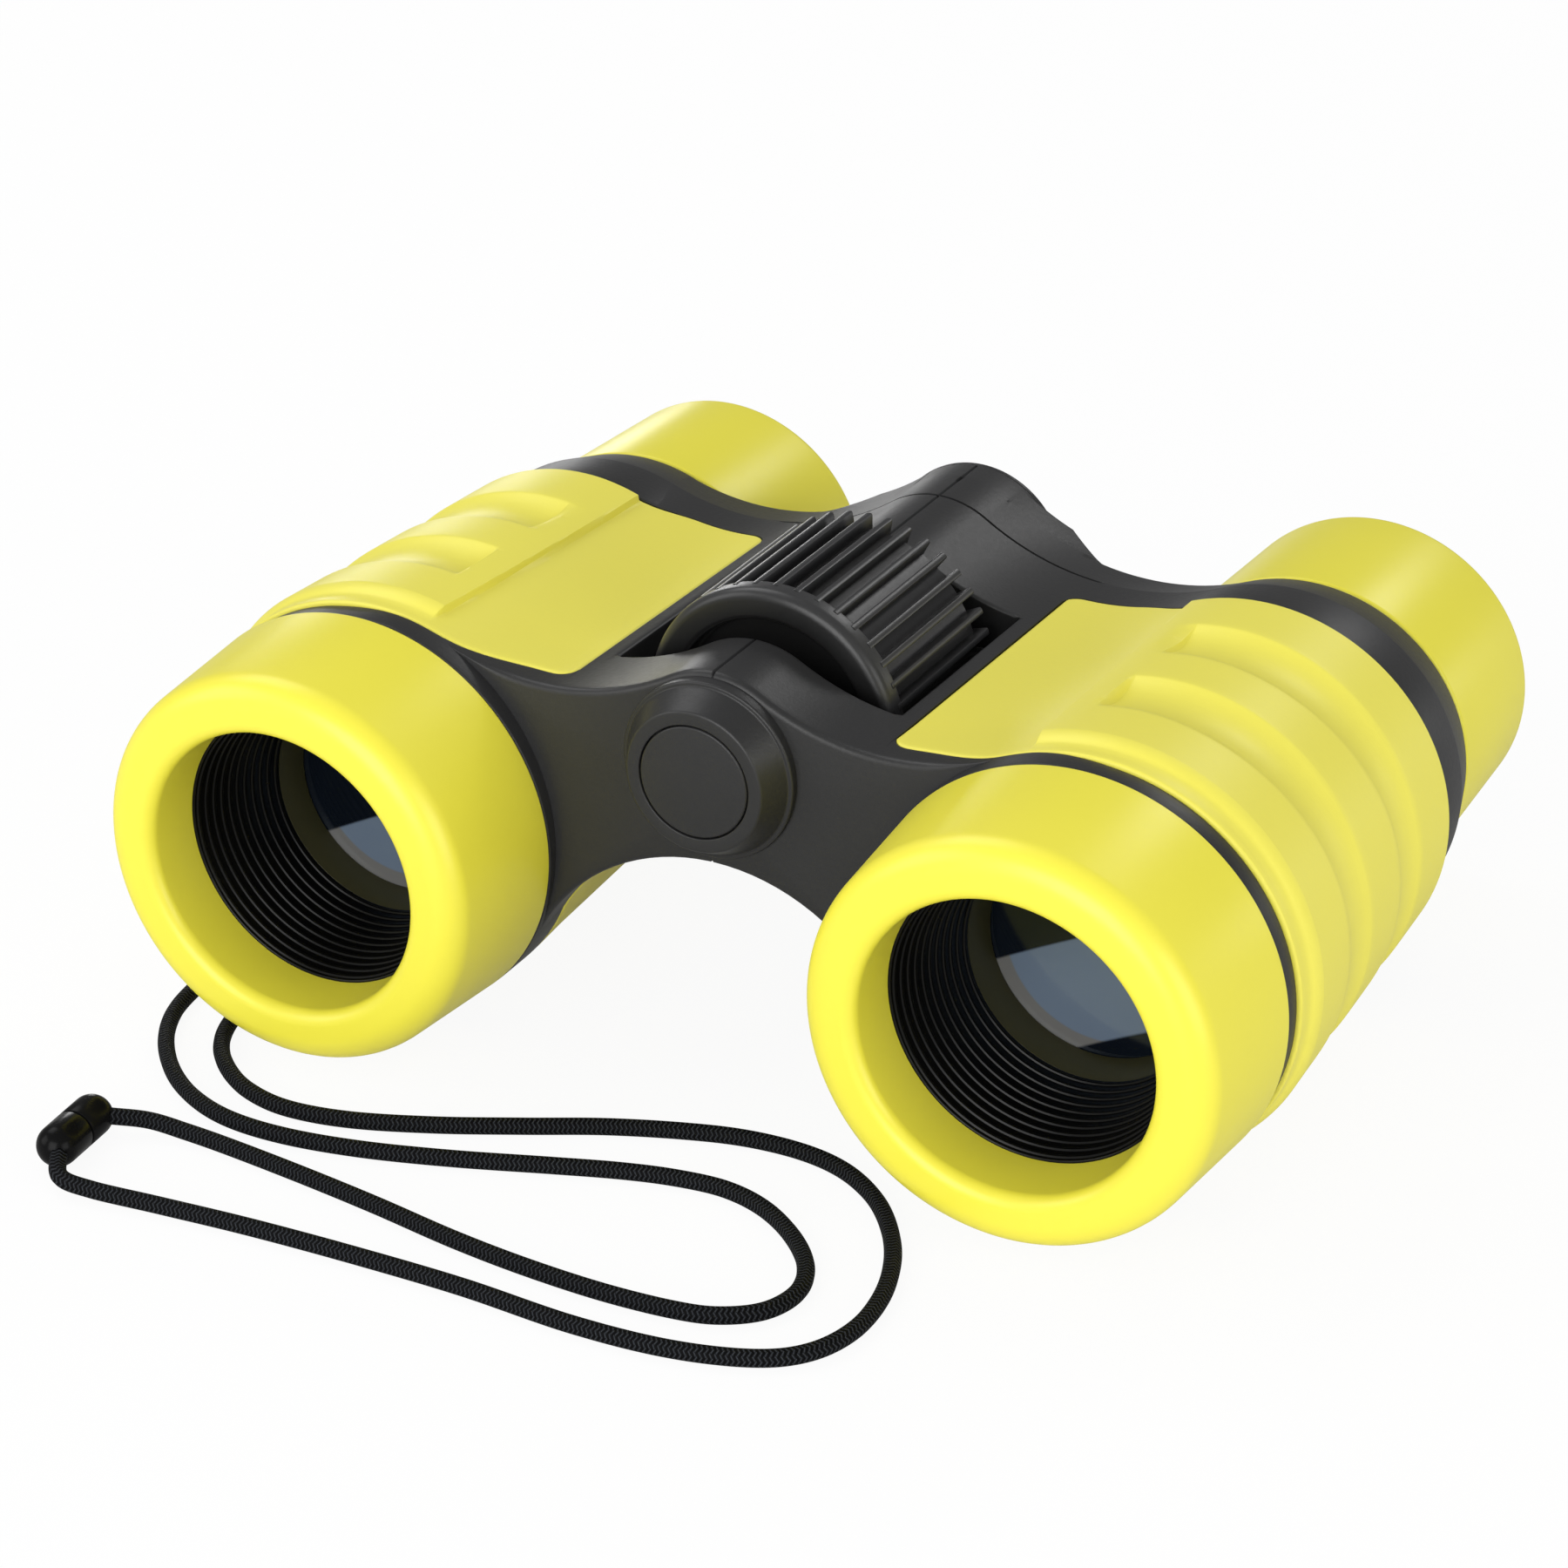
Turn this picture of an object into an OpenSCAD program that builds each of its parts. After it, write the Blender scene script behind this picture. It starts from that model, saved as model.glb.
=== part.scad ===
// Toy binoculars: two barrels on a fixed bridge, with a wheel that slides both eyepieces.
// The barrels lie along Y with the front rings towards -Y. X runs across, Z is up and Z = 0 is the floor.

/* [Objectives] */
// Thickness of an objective lens at its edge
objective_edge_t = 3; // [2.4:0.1:3.4]
// Bulge of each face of an objective lens
objective_sag = 0.9; // [0.4:0.1:1.2]
// Wall of the lens cell around the lens
cell_wall = 3.14; // [2.8:0.02:3.4]
// Floor of the lens cell behind the lens
cell_floor = 1.8; // [1.4:0.1:2.4]
// Depth of the lens cell behind the collar
cell_setback = 2.4; // [2:0.1:3]
// Length of the retainer in front of the lens
retainer_len = 2.8; // [2.2:0.1:3.2]
// Width of the retainer's lip on the lens
retainer_lip = 1.6; // [1.2:0.1:2]

/* [Barrels] */
// Distance between the axes of the two barrels
barrel_spacing = 64; // [62:0.5:68]
// Radius of a barrel at its front end
barrel_front_r = 17.7; // [17.4:0.1:18.4]
// Radius of a barrel at the rear end of its grip
barrel_grip_end_r = 16.3; // [16:0.1:17]
// Radius of a barrel at the crease of its rear band
barrel_crease_r = 15.8; // [15.4:0.1:16.2]
// Length of a barrel from the collar to its rear end
barrel_len = 46.7; // [46:0.1:50]
// Wall of a barrel around its lens cell
barrel_wall = 3.5; // [3:0.1:4]
// Step in a barrel's bore that stops the lens cell
barrel_step = 1; // [0.7:0.1:1.2]
// Wall of a barrel around the eyepiece tube at its rear end
neck_wall = 2.2; // [1.9:0.1:2.6]
// Length of the neck that guides an eyepiece tube
neck_len = 5.7; // [5:0.1:7]
// Length of the black band in front of a grip
front_band_len = 1.5; // [1:0.1:2.5]
// Length of the black band behind a grip
rear_band_len = 10.3; // [9.5:0.1:11]
// Distance from the crease of the rear band to the rear end
crease_len = 4.7; // [4:0.1:6]

/* [Bridge] */
// Height of the focus axis above the barrel axes
focus_rise = 10.2; // [9.8:0.1:11]
// Radius of the hump over the focus axis
hump_r = 8; // [7.8:0.1:8.6]
// Length of the hump behind the barrels
hump_overhang = 2.9; // [2.5:0.1:4]
// Distance of the wheel's window behind the collars
window_setback = 9.3; // [9:0.1:10]
// Height of the arch under the bridge above the barrel axes
arch_rise = 3; // [2:0.1:3.6]
// Radius of the hollows between the hump and the barrels
valley_r = 17; // [15:0.5:19]
// Wall of the hump around the yoke
hump_wall = 1.9; // [1.7:0.1:2.4]
// Setback of the bridge's front face behind the collars
plate_setback = 1; // [0.5:0.1:2]
// Gap between the wheel and the sides of its window
window_gap = 1.4; // [1:0.1:2]
// Width of the black border between the window and a grip
window_border = 1.6; // [1.2:0.1:2.4]
// Wall between the window and the yoke's room
cavity_wall = 4.3; // [3.8:0.1:5]
// Wall behind the yoke's room at the barrels' rear end
tail_wall = 1.3; // [1:0.1:2]
// Thickness of the cover under the bridge
cover_t = 1; // [0.8:0.1:1.2]
// Width of that cover
cover_w = 22; // [20:0.5:24]

/* [Grips] */
// Thickness of a grip's flush panel
grip_t = 1; // [0.8:0.1:1.2]
// Height of the raised pad above the panel
pad_t = 0.65; // [0.4:0.05:0.9]
// Angle of the pad's inner edges past the top and the bottom of the barrel
pad_edge_deg = 17; // [12:1:22]
// Distance of the pad behind the panel's front edge
pad_setback = 2.2; // [1.5:0.1:3]
// Length of the slope at the front of the pad
pad_slope_len = 1.6; // [1:0.1:2.5]
// Radius of a finger hollow's section
hollow_r = 6; // [5:0.1:8]
// Depth of a finger hollow
hollow_depth = 0.6; // [0.3:0.05:0.65]
// Angle of a finger hollow's end past the top of the barrel
hollow_edge_deg = 10; // [5:1:14]
// Distance between the finger hollows
hollow_pitch = 12; // [10:0.1:13]

/* [Front rings] */
// Length of a ring in front of the collar
ring_len = 13.2; // [12:0.1:14.4]
// Width of a ring's lip
ring_w = 4.6; // [4.4:0.1:5]
// Radius of the lip's outer rounding
ring_lip_r = 3.3; // [2.8:0.1:3.4]
// Radius of the lip's inner rounding
ring_inner_lip_r = 1.2; // [0.8:0.1:1.2]
// Wall of the spigot that seats a ring in its barrel
spigot_wall = 0.94; // [0.8:0.02:1.2]
// Depth of the hood tube behind the lip
hood_recess = 6; // [5:0.1:6.8]
// Wall of the hood tube at its mouth
hood_wall = 1.2; // [1:0.1:1.4]
// Step from the ring's mouth in to the hood tube
mouth_step = 0.2; // [0.1:0.05:0.4]
// Loss of radius along the inside of the hood tube
hood_taper = 1.9; // [1.5:0.1:2.2]
// Number of ribs in the hood tube
hood_ribs = 11; // [6:1:14]
// Depth of a rib
hood_rib_depth = 0.45; // [0.2:0.05:0.6]

/* [Eyepieces] */
// Radius of an eyepiece tube
tube_r = 12.25; // [11.9:0.05:12.6]
// Wall of an eyepiece tube
tube_wall = 1.75; // [1.5:0.05:2]
// Length of an eyepiece tube in front of the yoke
tube_lead = 2.6; // [2:0.1:3]
// Length of an eyecup
eyecup_len = 16.8; // [16:0.1:20]
// Wall of an eyecup at its front edge
eyecup_wall = 2.2; // [1.9:0.1:2.6]
// Loss of radius along an eyecup
eyecup_taper = 0.55; // [0.3:0.05:0.8]
// Radius of the rounding at the rear edge
eyecup_round_r = 1.2; // [0.8:0.1:1.4]
// Thickness of the lip that covers the tube's rear end
eyecup_lip_t = 2.4; // [2:0.1:3]
// Width of that lip over the tube
eyecup_lip_w = 1.65; // [1.4:0.05:1.7]
// Depth of the eye lens's front seat before the eyecup's rear edge
eye_lens_depth = 11.8; // [11:0.1:12.5]
// Thickness of an eye lens at its edge
eye_lens_edge_t = 3.5; // [3:0.1:4]
// Bulge of each face of an eye lens
eye_lens_sag = 1.1; // [0.5:0.1:1.2]
// Width of the lips before and behind the eye lens
eye_lip = 1.9; // [1.5:0.1:2.4]
// Thickness of the seat before the eye lens
eye_seat_t = 1.5; // [1.2:0.1:2]
// Length of the retainer behind the eye lens
eye_retainer_len = 2.5; // [2:0.1:3]

/* [Focus drive] */
// Travel of the eyepieces
focus_travel = 4; // [2:0.1:4]
// Radius of the wheel over its ribs
wheel_r = 11.3; // [11:0.1:11.8]
// Height of a rib on the wheel
rib_h = 1.2; // [0.8:0.1:1.4]
// Width of a rib on the wheel
rib_w = 0.7; // [0.5:0.1:1]
// Number of ribs round the wheel
rib_count = 38; // [24:1:42]
// Drop of the wheel's smooth front flange below the ribs
flange_drop = 0.4; // [0.2:0.1:0.6]
// Length of that flange
flange_len = 2; // [1.6:0.1:2.4]
// Wall of the wheel's drum
drum_wall = 1.6; // [1.2:0.1:2]
// Wall of the wheel's hub
hub_wall = 2.5; // [2:0.1:3]
// Length of the hub in front of the flange and behind the ribs
hub_end = 1.5; // [1:0.1:2]
// Radius of the focus shaft
shaft_r = 2; // [1.8:0.1:2.2]
// Wall of the bushes
bush_wall = 1.35; // [1.1:0.05:1.5]
// Setback of the front bush behind the bridge's front face
bush_setback = 1.3; // [1:0.1:2]
// Length of the rear bush
rear_bush_len = 3; // [2.6:0.1:3.6]
// Wall of the focus nut
nut_wall = 1.85; // [1.6:0.05:2]
// Length of the focus nut
nut_len = 5.2; // [4.8:0.1:5.6]
// Thickness of the yoke along the shaft
yoke_t = 3.6; // [3:0.1:4]
// Height of the yoke's arms
yoke_arm_h = 4; // [3.6:0.1:4.4]
// Gap between the arms and the cover below them
arm_gap = 0.4; // [0.3:0.05:0.6]

/* [Boss and cap] */
// Edge of the hump left around the boss
boss_edge = 0.4; // [0.2:0.1:0.6]
// Step from the boss's base ring in to its chamfer
boss_step = 0.4; // [0.2:0.1:0.6]
// Width of the boss's chamfer
boss_chamfer = 1.2; // [0.8:0.1:1.4]
// Height of the boss in front of the bridge
boss_h = 2.5; // [2:0.1:3]
// Thickness of the boss's base ring
boss_base_t = 0.7; // [0.4:0.1:0.9]
// Width of the boss's flat face around its disc
boss_rim = 1.25; // [1:0.05:1.6]
// Thickness of that disc
disc_t = 0.8; // [0.5:0.1:1]
// Thickness of the rear cap
cap_t = 1.2; // [1:0.1:1.6]
// Chamfer of the rear cap
cap_chamfer = 0.8; // [0.4:0.1:0.9]
// Wall of the hump around the skirts that clamp the two half bodies
skirt_edge = 1.1; // [0.9:0.1:1.3]
// Wall of those skirts
skirt_wall = 1.3; // [1.1:0.1:1.4]
// Depth of the skirts
skirt_len = 3; // [2.4:0.1:3.4]

/* [Fasteners] */
// Radius of a cover screw's shank
screw_r = 0.8; // [0.7:0.05:0.9]
// Length of that shank
screw_len = 5; // [4:0.1:5.5]
// Radius of a cover screw's head
screw_head_r = 1.3; // [1.1:0.1:1.4]
// Height of that head
screw_head_h = 0.5; // [0.3:0.05:0.6]
// Distance of the screws from the sides of the cover
screw_edge = 2.4; // [2:0.1:3]

/* [Neck cord] */
// Diameter of the cord
cord_d = 1.4; // [1.2:0.1:1.5]
// Thickness of the lug along the barrel
lug_t = 2.2; // [1.8:0.1:3]
// Distance of the lug's hole from the barrel's axis
lug_reach = 19.3; // [19.2:0.1:19.5]
// Squeeze of the cord in the lug's hole and in the clasp
cord_squeeze = 0.04; // [0:0.01:0.1]
// Radius of the lug's round end
lug_end_r = 2.2; // [2:0.1:2.3]
// Length of the clasp
clasp_len = 9.2; // [8:0.1:10]
// Radius of the clasp
clasp_r = 1.55; // [1.4:0.05:1.6]
// Radius of the clasp's inner plug
clasp_plug_r = 0.8; // [0.6:0.05:0.9]
// Length of the clasp's inner plug
clasp_plug_len = 2; // [1.5:0.1:2.5]

/* [Hidden] */
$fn = 96;

// Sides of the object
left = -1;
right = 1;

// Clearances: overrun of cuts, gap between moving faces, radial running fit, slip fit of fixed pieces
over = 1;
gap = 0.3;
running = 0.05;
slip = 0.03;

// Radii from the barrel inwards: cell, lens, hood and ring
cell_bore_r = barrel_front_r - barrel_wall;
barrel_bore_r = cell_bore_r - barrel_step;
objective_r = cell_bore_r - slip - cell_wall - slip;
retainer_r = objective_r - retainer_lip;
spigot_r = cell_bore_r - slip;
hood_r = spigot_r - spigot_wall - slip;
hood_mouth_r = hood_r - hood_wall;
hood_end_r = hood_mouth_r - hood_taper;
ring_mouth_r = hood_mouth_r + mouth_step;
ring_front_r = ring_mouth_r + ring_w;

// Radii around the eyepiece tube
tube_inner_r = tube_r - tube_wall;
barrel_rear_r = tube_r + running + neck_wall;
eye_stop_r = tube_inner_r - eye_lip;
eyecup_front_r = tube_r + eyecup_wall;
eyecup_rear_r = eyecup_front_r - eyecup_taper;
eyecup_mouth_r = tube_r - eyecup_lip_w;

// Radii around the focus axis
bush_r = shaft_r + running + bush_wall;
nut_r = shaft_r + running + nut_wall;
hub_r = shaft_r + hub_wall;
flange_r = wheel_r - flange_drop;
cavity_gap = 0.5;
cavity_r = hump_r - hump_wall;
yoke_ring_r = cavity_r - cavity_gap;
boss_base_r = hump_r - boss_edge;
boss_r = boss_base_r - boss_step;
boss_face_r = boss_r - boss_chamfer;
disc_r = boss_face_r - boss_rim;
skirt_r = hump_r - skirt_edge;

// Places across the object: barrels, window and grips
half_spacing = barrel_spacing / 2;
window_w = 2 * (wheel_r + window_gap);
grip_inner_x = window_w / 2 + window_border;

// Lengths along the focus axis: the bush and the wheel take what the barrel's length leaves
yoke_rest_gap = 0.4;
cavity_len = nut_len + focus_travel + 2 * yoke_rest_gap;
window_len = barrel_len - window_setback - cavity_wall - cavity_len - tail_wall;
hub_len = window_len - 2 * gap;
rib_len = hub_len - flange_len - 2 * hub_end;
front_bush_len = window_setback - plate_setback - bush_setback;
yoke_arm_drop = focus_rise - arch_rise - cover_t - arm_gap - yoke_arm_h / 2;

// Places along the barrels
total_len = ring_len + barrel_len + gap + eyecup_len;
nose_y = -total_len / 2;
collar_y = nose_y + ring_len;
plate_y = collar_y + plate_setback;
grip_front_y = collar_y + front_band_len;
tail_y = collar_y + barrel_len;
grip_rear_y = tail_y - rear_band_len;
crease_y = tail_y - crease_len;
neck_y = tail_y - neck_len;
window_front_y = collar_y + window_setback;
window_rear_y = window_front_y + window_len;
cavity_front_y = window_rear_y + cavity_wall;
cavity_rear_y = cavity_front_y + cavity_len;
hump_y = tail_y + hump_overhang;
nut_front_y = cavity_front_y + yoke_rest_gap;
yoke_front_y = nut_front_y + (nut_len - yoke_t) / 2;
eyecup_front_y = tail_y + gap;
eyecup_rear_y = eyecup_front_y + eyecup_len;
tube_front_y = yoke_front_y - tube_lead;
tube_rear_y = eyecup_rear_y - eyecup_lip_t;

// Radius of a barrel along its length
function barrel_r(y) = lookup(y, [
    [grip_front_y, barrel_front_r], [grip_rear_y, barrel_grip_end_r],
    [crease_y, barrel_crease_r], [tail_y, barrel_rear_r]
]);

// Heights: the raised pads rest on the floor
pad_front_y = grip_front_y + pad_setback;
pad_top_y = pad_front_y + pad_slope_len;
axis_z = barrel_r(pad_top_y) + pad_t;
focus_z = axis_z + focus_rise;

// Outline of the bridge in the plane across the barrels, with heights counted from the barrel axes.
// Its arcs touch each other: hump, hollow, barrel and arch.
web_rear_r = (barrel_grip_end_r + barrel_rear_r) / 2;
web_steps = 4;
hump_centre = [0, focus_rise];
barrel_centre = [half_spacing, 0];
// Upper crossing of a circle of radius a about the hump's centre with one of radius b about the barrel's
function crossing(a, b) =
    let (
        line = barrel_centre - hump_centre,
        span = norm(line),
        along = (a * a - b * b + span * span) / (2 * span),
        rise = sqrt(a * a - along * along),
        way = line / span
    )
    hump_centre + along * way + rise * [-way.y, way.x];
function hollow_centre(r) = crossing(hump_r + valley_r, r + valley_r);
function arch_r(r) = (pow(half_spacing, 2) + pow(arch_rise, 2) - pow(r, 2)) / (2 * (r + arch_rise));
function arch_centre(r) = [0, arch_rise - arch_r(r)];
function toward(from, to, reach) = from + reach * (to - from) / norm(to - from);
function mirrored(points) = [for (p = points) [-p.x, p.y]];

// Places of the yoke, the shaft and the bushes
arm_z = focus_z - yoke_arm_drop;
tongue_len = 4.2;
arm_tip_x = half_spacing - tube_r + tongue_len;
slot_gap = 0.35;
slot_reach_share = 0.6;
hole_gap = 0.6;
shaft_end_gap = 0.6;
front_bush_y = window_front_y - front_bush_len;
rear_bush_y = hump_y - rear_bush_len;
shaft_front_y = front_bush_y - gap;
shaft_rear_y = hump_y - shaft_end_gap;

// Places along the optical axis
hood_front_y = nose_y + hood_recess;
cell_front_y = collar_y + cell_setback;
objective_y = cell_front_y + retainer_len;
cell_rear_y = objective_y + objective_edge_t + cell_floor;
eye_lens_y = eyecup_rear_y - eye_lens_depth;
eye_retainer_y = eye_lens_y + eye_lens_edge_t;

// Places of the cover, its screws, the finger hollows and the lug
cover_edge = 0.8;
cover_front_y = window_rear_y + cover_edge;
cover_rear_y = tail_y - cover_edge;
cover_fit = 0.1;
cover_arch_r = arch_r(web_rear_r);
cover_centre = arch_centre(web_rear_r);
access_w = 11;
access_edge = 1;
screw_y = (cover_front_y + cavity_front_y) / 2;
screw_deg = asin((cover_w / 2 - screw_edge) / cover_arch_r);
hollow_mid_share = 0.535;
hollow_mid_y = grip_front_y + hollow_mid_share * (grip_rear_y - grip_front_y);
grip_corner = 1.4;
grip_bay_w = 9.6;
grip_bay_len = 2.6;
lug_deg = 225;
lug_y = crease_y - lug_t / 2;
lug_x = -half_spacing + lug_reach * cos(lug_deg);
lug_z = axis_z + lug_reach * sin(lug_deg);
lug_hole_r = cord_d / 2 - cord_squeeze;
lug_hole = [lug_x, lug_y + lug_t / 2, lug_z];

// Places of the clasp: its middle, its turn, its two round ends and the cord's seats on them
clasp_mid = [-40.7, -55.9, clasp_r];
clasp_deg = 94;
clasp_reach = clasp_len / 2 - clasp_r;
clasp_far = clasp_mid + clasp_reach * [cos(clasp_deg), sin(clasp_deg), 0];
clasp_near = clasp_mid - clasp_reach * [cos(clasp_deg), sin(clasp_deg), 0];
far_seat_deg = 26;
near_seat_deg = -53;
clasp_seat = clasp_r - cord_d / 4 - cord_squeeze;
far_seat = clasp_far + clasp_seat * [cos(far_seat_deg), sin(far_seat_deg), 0];
near_seat = clasp_near + clasp_seat * [cos(near_seat_deg), sin(near_seat_deg), 0];

// Colours
black = [0.13, 0.13, 0.14];
shiny_black = [0.05, 0.05, 0.06];
lemon = [0.93, 0.87, 0.28];
olive = [0.2, 0.2, 0.15];
brass = [0.75, 0.6, 0.3];
steel = [0.7, 0.71, 0.73];
glass = [0.45, 0.55, 0.68];

// Stand a shape that is drawn upright along a barrel axis, with its heights as Y
module at_barrel(side) translate([side * half_spacing, 0, axis_z]) rotate([-90, 0, 0]) children();

// The same along the focus axis
module at_focus() translate([0, 0, focus_z]) rotate([-90, 0, 0]) children();

// Ring or rod between two heights
module ring(r_out, r_in, low, high) {
    translate([0, 0, low]) difference() {
        cylinder(r = r_out, h = high - low);
        translate([0, 0, -over]) cylinder(r = r_in, h = high - low + 2 * over);
    }
}
module rod(r, low, high) translate([0, 0, low]) cylinder(r = r, h = high - low);

// Stretch an outline of the plane across the barrels between two places along Y
module along_y(low, high) {
    translate([0, high, axis_z]) rotate([90, 0, 0]) linear_extrude(high - low) children();
}

// Box between two corners
module block(low, high) translate(low) cube(high - low);

// Points of an arc about a centre
function arc(centre, r, from, to, steps = 8) =
    [for (i = [0:steps]) let (a = from + (to - from) * i / steps) centre + r * [cos(a), sin(a)]];

// Outline of the bridge, drawn in by an inset
module bridge_outline(r, inset) {
    hollow = hollow_centre(r);
    arch = arch_centre(r);
    flank = [
        toward(hump_centre, hollow, hump_r), toward(barrel_centre, hollow, r), barrel_centre
    ];
    difference() {
        union() {
            translate(hump_centre) circle(r = hump_r - inset);
            polygon(concat([hump_centre], flank, [arch]));
            polygon(concat([hump_centre], mirrored(flank), [arch]));
        }
        for (side = [left, right]) translate([side * hollow.x, hollow.y]) circle(r = valley_r + inset);
        translate(arch) circle(r = arch_r(r) + inset);
    }
}

// One barrel without its bores, drawn in by an inset
module barrel_form(side, inset) {
    at_barrel(side) rotate_extrude() polygon([
        [0, collar_y], [barrel_front_r - inset, collar_y], [barrel_front_r - inset, grip_front_y],
        [barrel_grip_end_r - inset, grip_rear_y], [barrel_crease_r - inset, crease_y],
        [barrel_rear_r - inset, tail_y], [0, tail_y]
    ]);
}

// One barrel with the bridge
module body_form(side, inset) {
    barrel_form(side, inset);
    step = (grip_rear_y - plate_y) / web_steps;
    for (i = [0:web_steps - 1]) {
        low = plate_y + i * step;
        along_y(low, low + step) bridge_outline(barrel_r(low + step / 2), inset);
    }
    along_y(grip_rear_y, tail_y) bridge_outline(web_rear_r, inset);
    at_focus() rod(hump_r - inset, grip_rear_y, hump_y);
}

// The half of space on one side of the middle
module half_space(side) {
    reach = barrel_spacing;
    translate([side < 0 ? -reach : 0, -reach, -reach]) cube([reach, 2 * reach, 2 * reach]);
}

// Column over a grip's panel seen from above: its front edge draws back towards the bridge
module grip_column(side) {
    bay_x = grip_inner_x + grip_bay_w;
    bay_y = grip_front_y + grip_bay_len;
    edge_x = barrel_spacing;
    linear_extrude(2 * focus_z) polygon([
        for (p = [
            [grip_inner_x + grip_corner, bay_y], [(grip_inner_x + bay_x) / 2, bay_y],
            [bay_x, grip_front_y], [edge_x, grip_front_y], [edge_x, grip_rear_y],
            [grip_inner_x + grip_corner, grip_rear_y], [grip_inner_x, grip_rear_y - grip_corner],
            [grip_inner_x, bay_y + grip_corner]
        ]) [side * p.x, p.y]
    ]);
}

// Stepped bore through a barrel
module barrel_bore(side) {
    at_barrel(side) {
        rod(cell_bore_r, collar_y - over, cell_rear_y);
        rod(barrel_bore_r, collar_y, neck_y);
        rod(tube_r + running, tube_front_y - gap, tail_y + over);
    }
}

// Room for the wheel, right through the bridge
module wheel_window() {
    block([-window_w / 2, window_front_y, 0], [window_w / 2, window_rear_y, 2 * focus_z]);
}

// Room for the nut, the yoke's ring and its arms over their travel
module yoke_room() {
    at_focus() rod(cavity_r, cavity_front_y, cavity_rear_y);
    arm_room = [
        half_spacing - barrel_bore_r * slot_reach_share, yoke_front_y - slot_gap, arm_z - yoke_arm_h / 2 - slot_gap
    ];
    block(
        [-arm_room.x, arm_room.y, arm_room.z],
        [arm_room.x, yoke_front_y + yoke_t + focus_travel + slot_gap, arm_z + yoke_arm_h / 2 + slot_gap]
    );
}

// Holes along the focus axis: bush seats, shaft holes and the grooves for the two skirts
module focus_holes() {
    at_focus() {
        rod(bush_r, front_bush_y, window_front_y + over);
        rod(shaft_r + hole_gap, plate_y - over, cavity_front_y + over);
        rod(shaft_r + hole_gap, cavity_rear_y - over, hump_y + over);
        rod(bush_r, rear_bush_y, hump_y + over);
        ring(skirt_r, skirt_r - skirt_wall, plate_y - over, plate_y + skirt_len);
        ring(skirt_r, skirt_r - skirt_wall, hump_y - skirt_len, hump_y + over);
    }
}

// The cover's shape: a strip of the arch, larger by a margin
module cover_strip(margin) {
    intersection() {
        along_y(cover_front_y - margin, cover_rear_y + margin) translate(cover_centre) difference() {
            circle(r = cover_arch_r + cover_t + margin);
            circle(r = margin > 0 ? cover_arch_r - over : cover_arch_r);
        }
        block(
            [-cover_w / 2 - margin, cover_front_y - over, 0],
            [cover_w / 2 + margin, cover_rear_y + over, focus_z]
        );
    }
}

// Something placed at both cover screws, pointing away from the arch's axis
module at_screws() {
    for (side = [left, right])
        translate([0, screw_y, axis_z + cover_centre.y]) rotate([0, side * screw_deg, 0]) children();
}

// One half of the body with its barrel
module body_half(side) {
    color(black) difference() {
        union() {
            intersection() {
                body_form(side, 0);
                half_space(side);
            }
            if (side == left) lug();
        }
        difference() {
            grip_column(side);
            body_form(side, grip_t);
        }
        barrel_bore(side);
        wheel_window();
        yoke_room();
        focus_holes();
        cover_strip(cover_fit);
        block(
            [-access_w / 2, cavity_front_y + access_edge, axis_z],
            [access_w / 2, cavity_rear_y - access_edge, focus_z]
        );
        at_screws() rod(screw_r, cover_arch_r, cover_arch_r + cover_t + screw_len);
        if (side == left) at_lug() rod(lug_hole_r, -over, lug_t + over);
    }
}

// The lug for the neck cord, low on the outer side of the left barrel's rear band
module at_lug() translate([lug_x, lug_y, lug_z]) rotate([-90, 0, 0]) children();
module lug() {
    root = barrel_crease_r;
    at_lug() rod(lug_end_r, 0, lug_t);
    translate([-half_spacing, lug_y, axis_z]) rotate([0, -lug_deg, 0])
        translate([root - lug_end_r, 0, -lug_end_r])
            cube([lug_reach - root + lug_end_r, lug_t, 2 * lug_end_r]);
}

module left_body() body_half(left);
module right_body() body_half(right);

// Curved cover under the rear of the bridge
module bridge_cover() {
    color(black) difference() {
        cover_strip(0);
        at_screws() {
            rod(screw_r + slip, 0, cover_arch_r + cover_t + over);
            rod(screw_head_r + cover_fit, 0, cover_arch_r + screw_head_h);
        }
    }
}

// The two screws that hold the cover to the half bodies
module cover_screws() {
    color(steel) at_screws() {
        rod(screw_head_r, cover_arch_r, cover_arch_r + screw_head_h);
        rod(screw_r, cover_arch_r + screw_head_h / 2, cover_arch_r + cover_t + screw_len);
    }
}

// Boss that clamps the half bodies in front
module front_boss() {
    face_y = plate_y - boss_h;
    color(black) at_focus() difference() {
        rotate_extrude() polygon([
            [0, face_y], [boss_face_r, face_y], [boss_r, plate_y - boss_base_t],
            [boss_base_r, plate_y - boss_base_t], [boss_base_r, plate_y],
            [skirt_r, plate_y], [skirt_r, plate_y + skirt_len],
            [skirt_r - skirt_wall, plate_y + skirt_len], [skirt_r - skirt_wall, plate_y], [0, plate_y]
        ]);
        rod(disc_r + slip, face_y - over, face_y + disc_t);
    }
}

module boss_disc() {
    color(black) at_focus() rod(disc_r, plate_y - boss_h, plate_y - boss_h + disc_t);
}

// Cap that clamps the half bodies behind
module rear_cap() {
    color(black) at_focus() rotate_extrude() polygon([
        [0, hump_y], [skirt_r - skirt_wall, hump_y], [skirt_r - skirt_wall, hump_y - skirt_len],
        [skirt_r, hump_y - skirt_len], [skirt_r, hump_y], [hump_r, hump_y],
        [hump_r, hump_y + cap_t - cap_chamfer], [hump_r - cap_chamfer, hump_y + cap_t], [0, hump_y + cap_t]
    ]);
}

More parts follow.
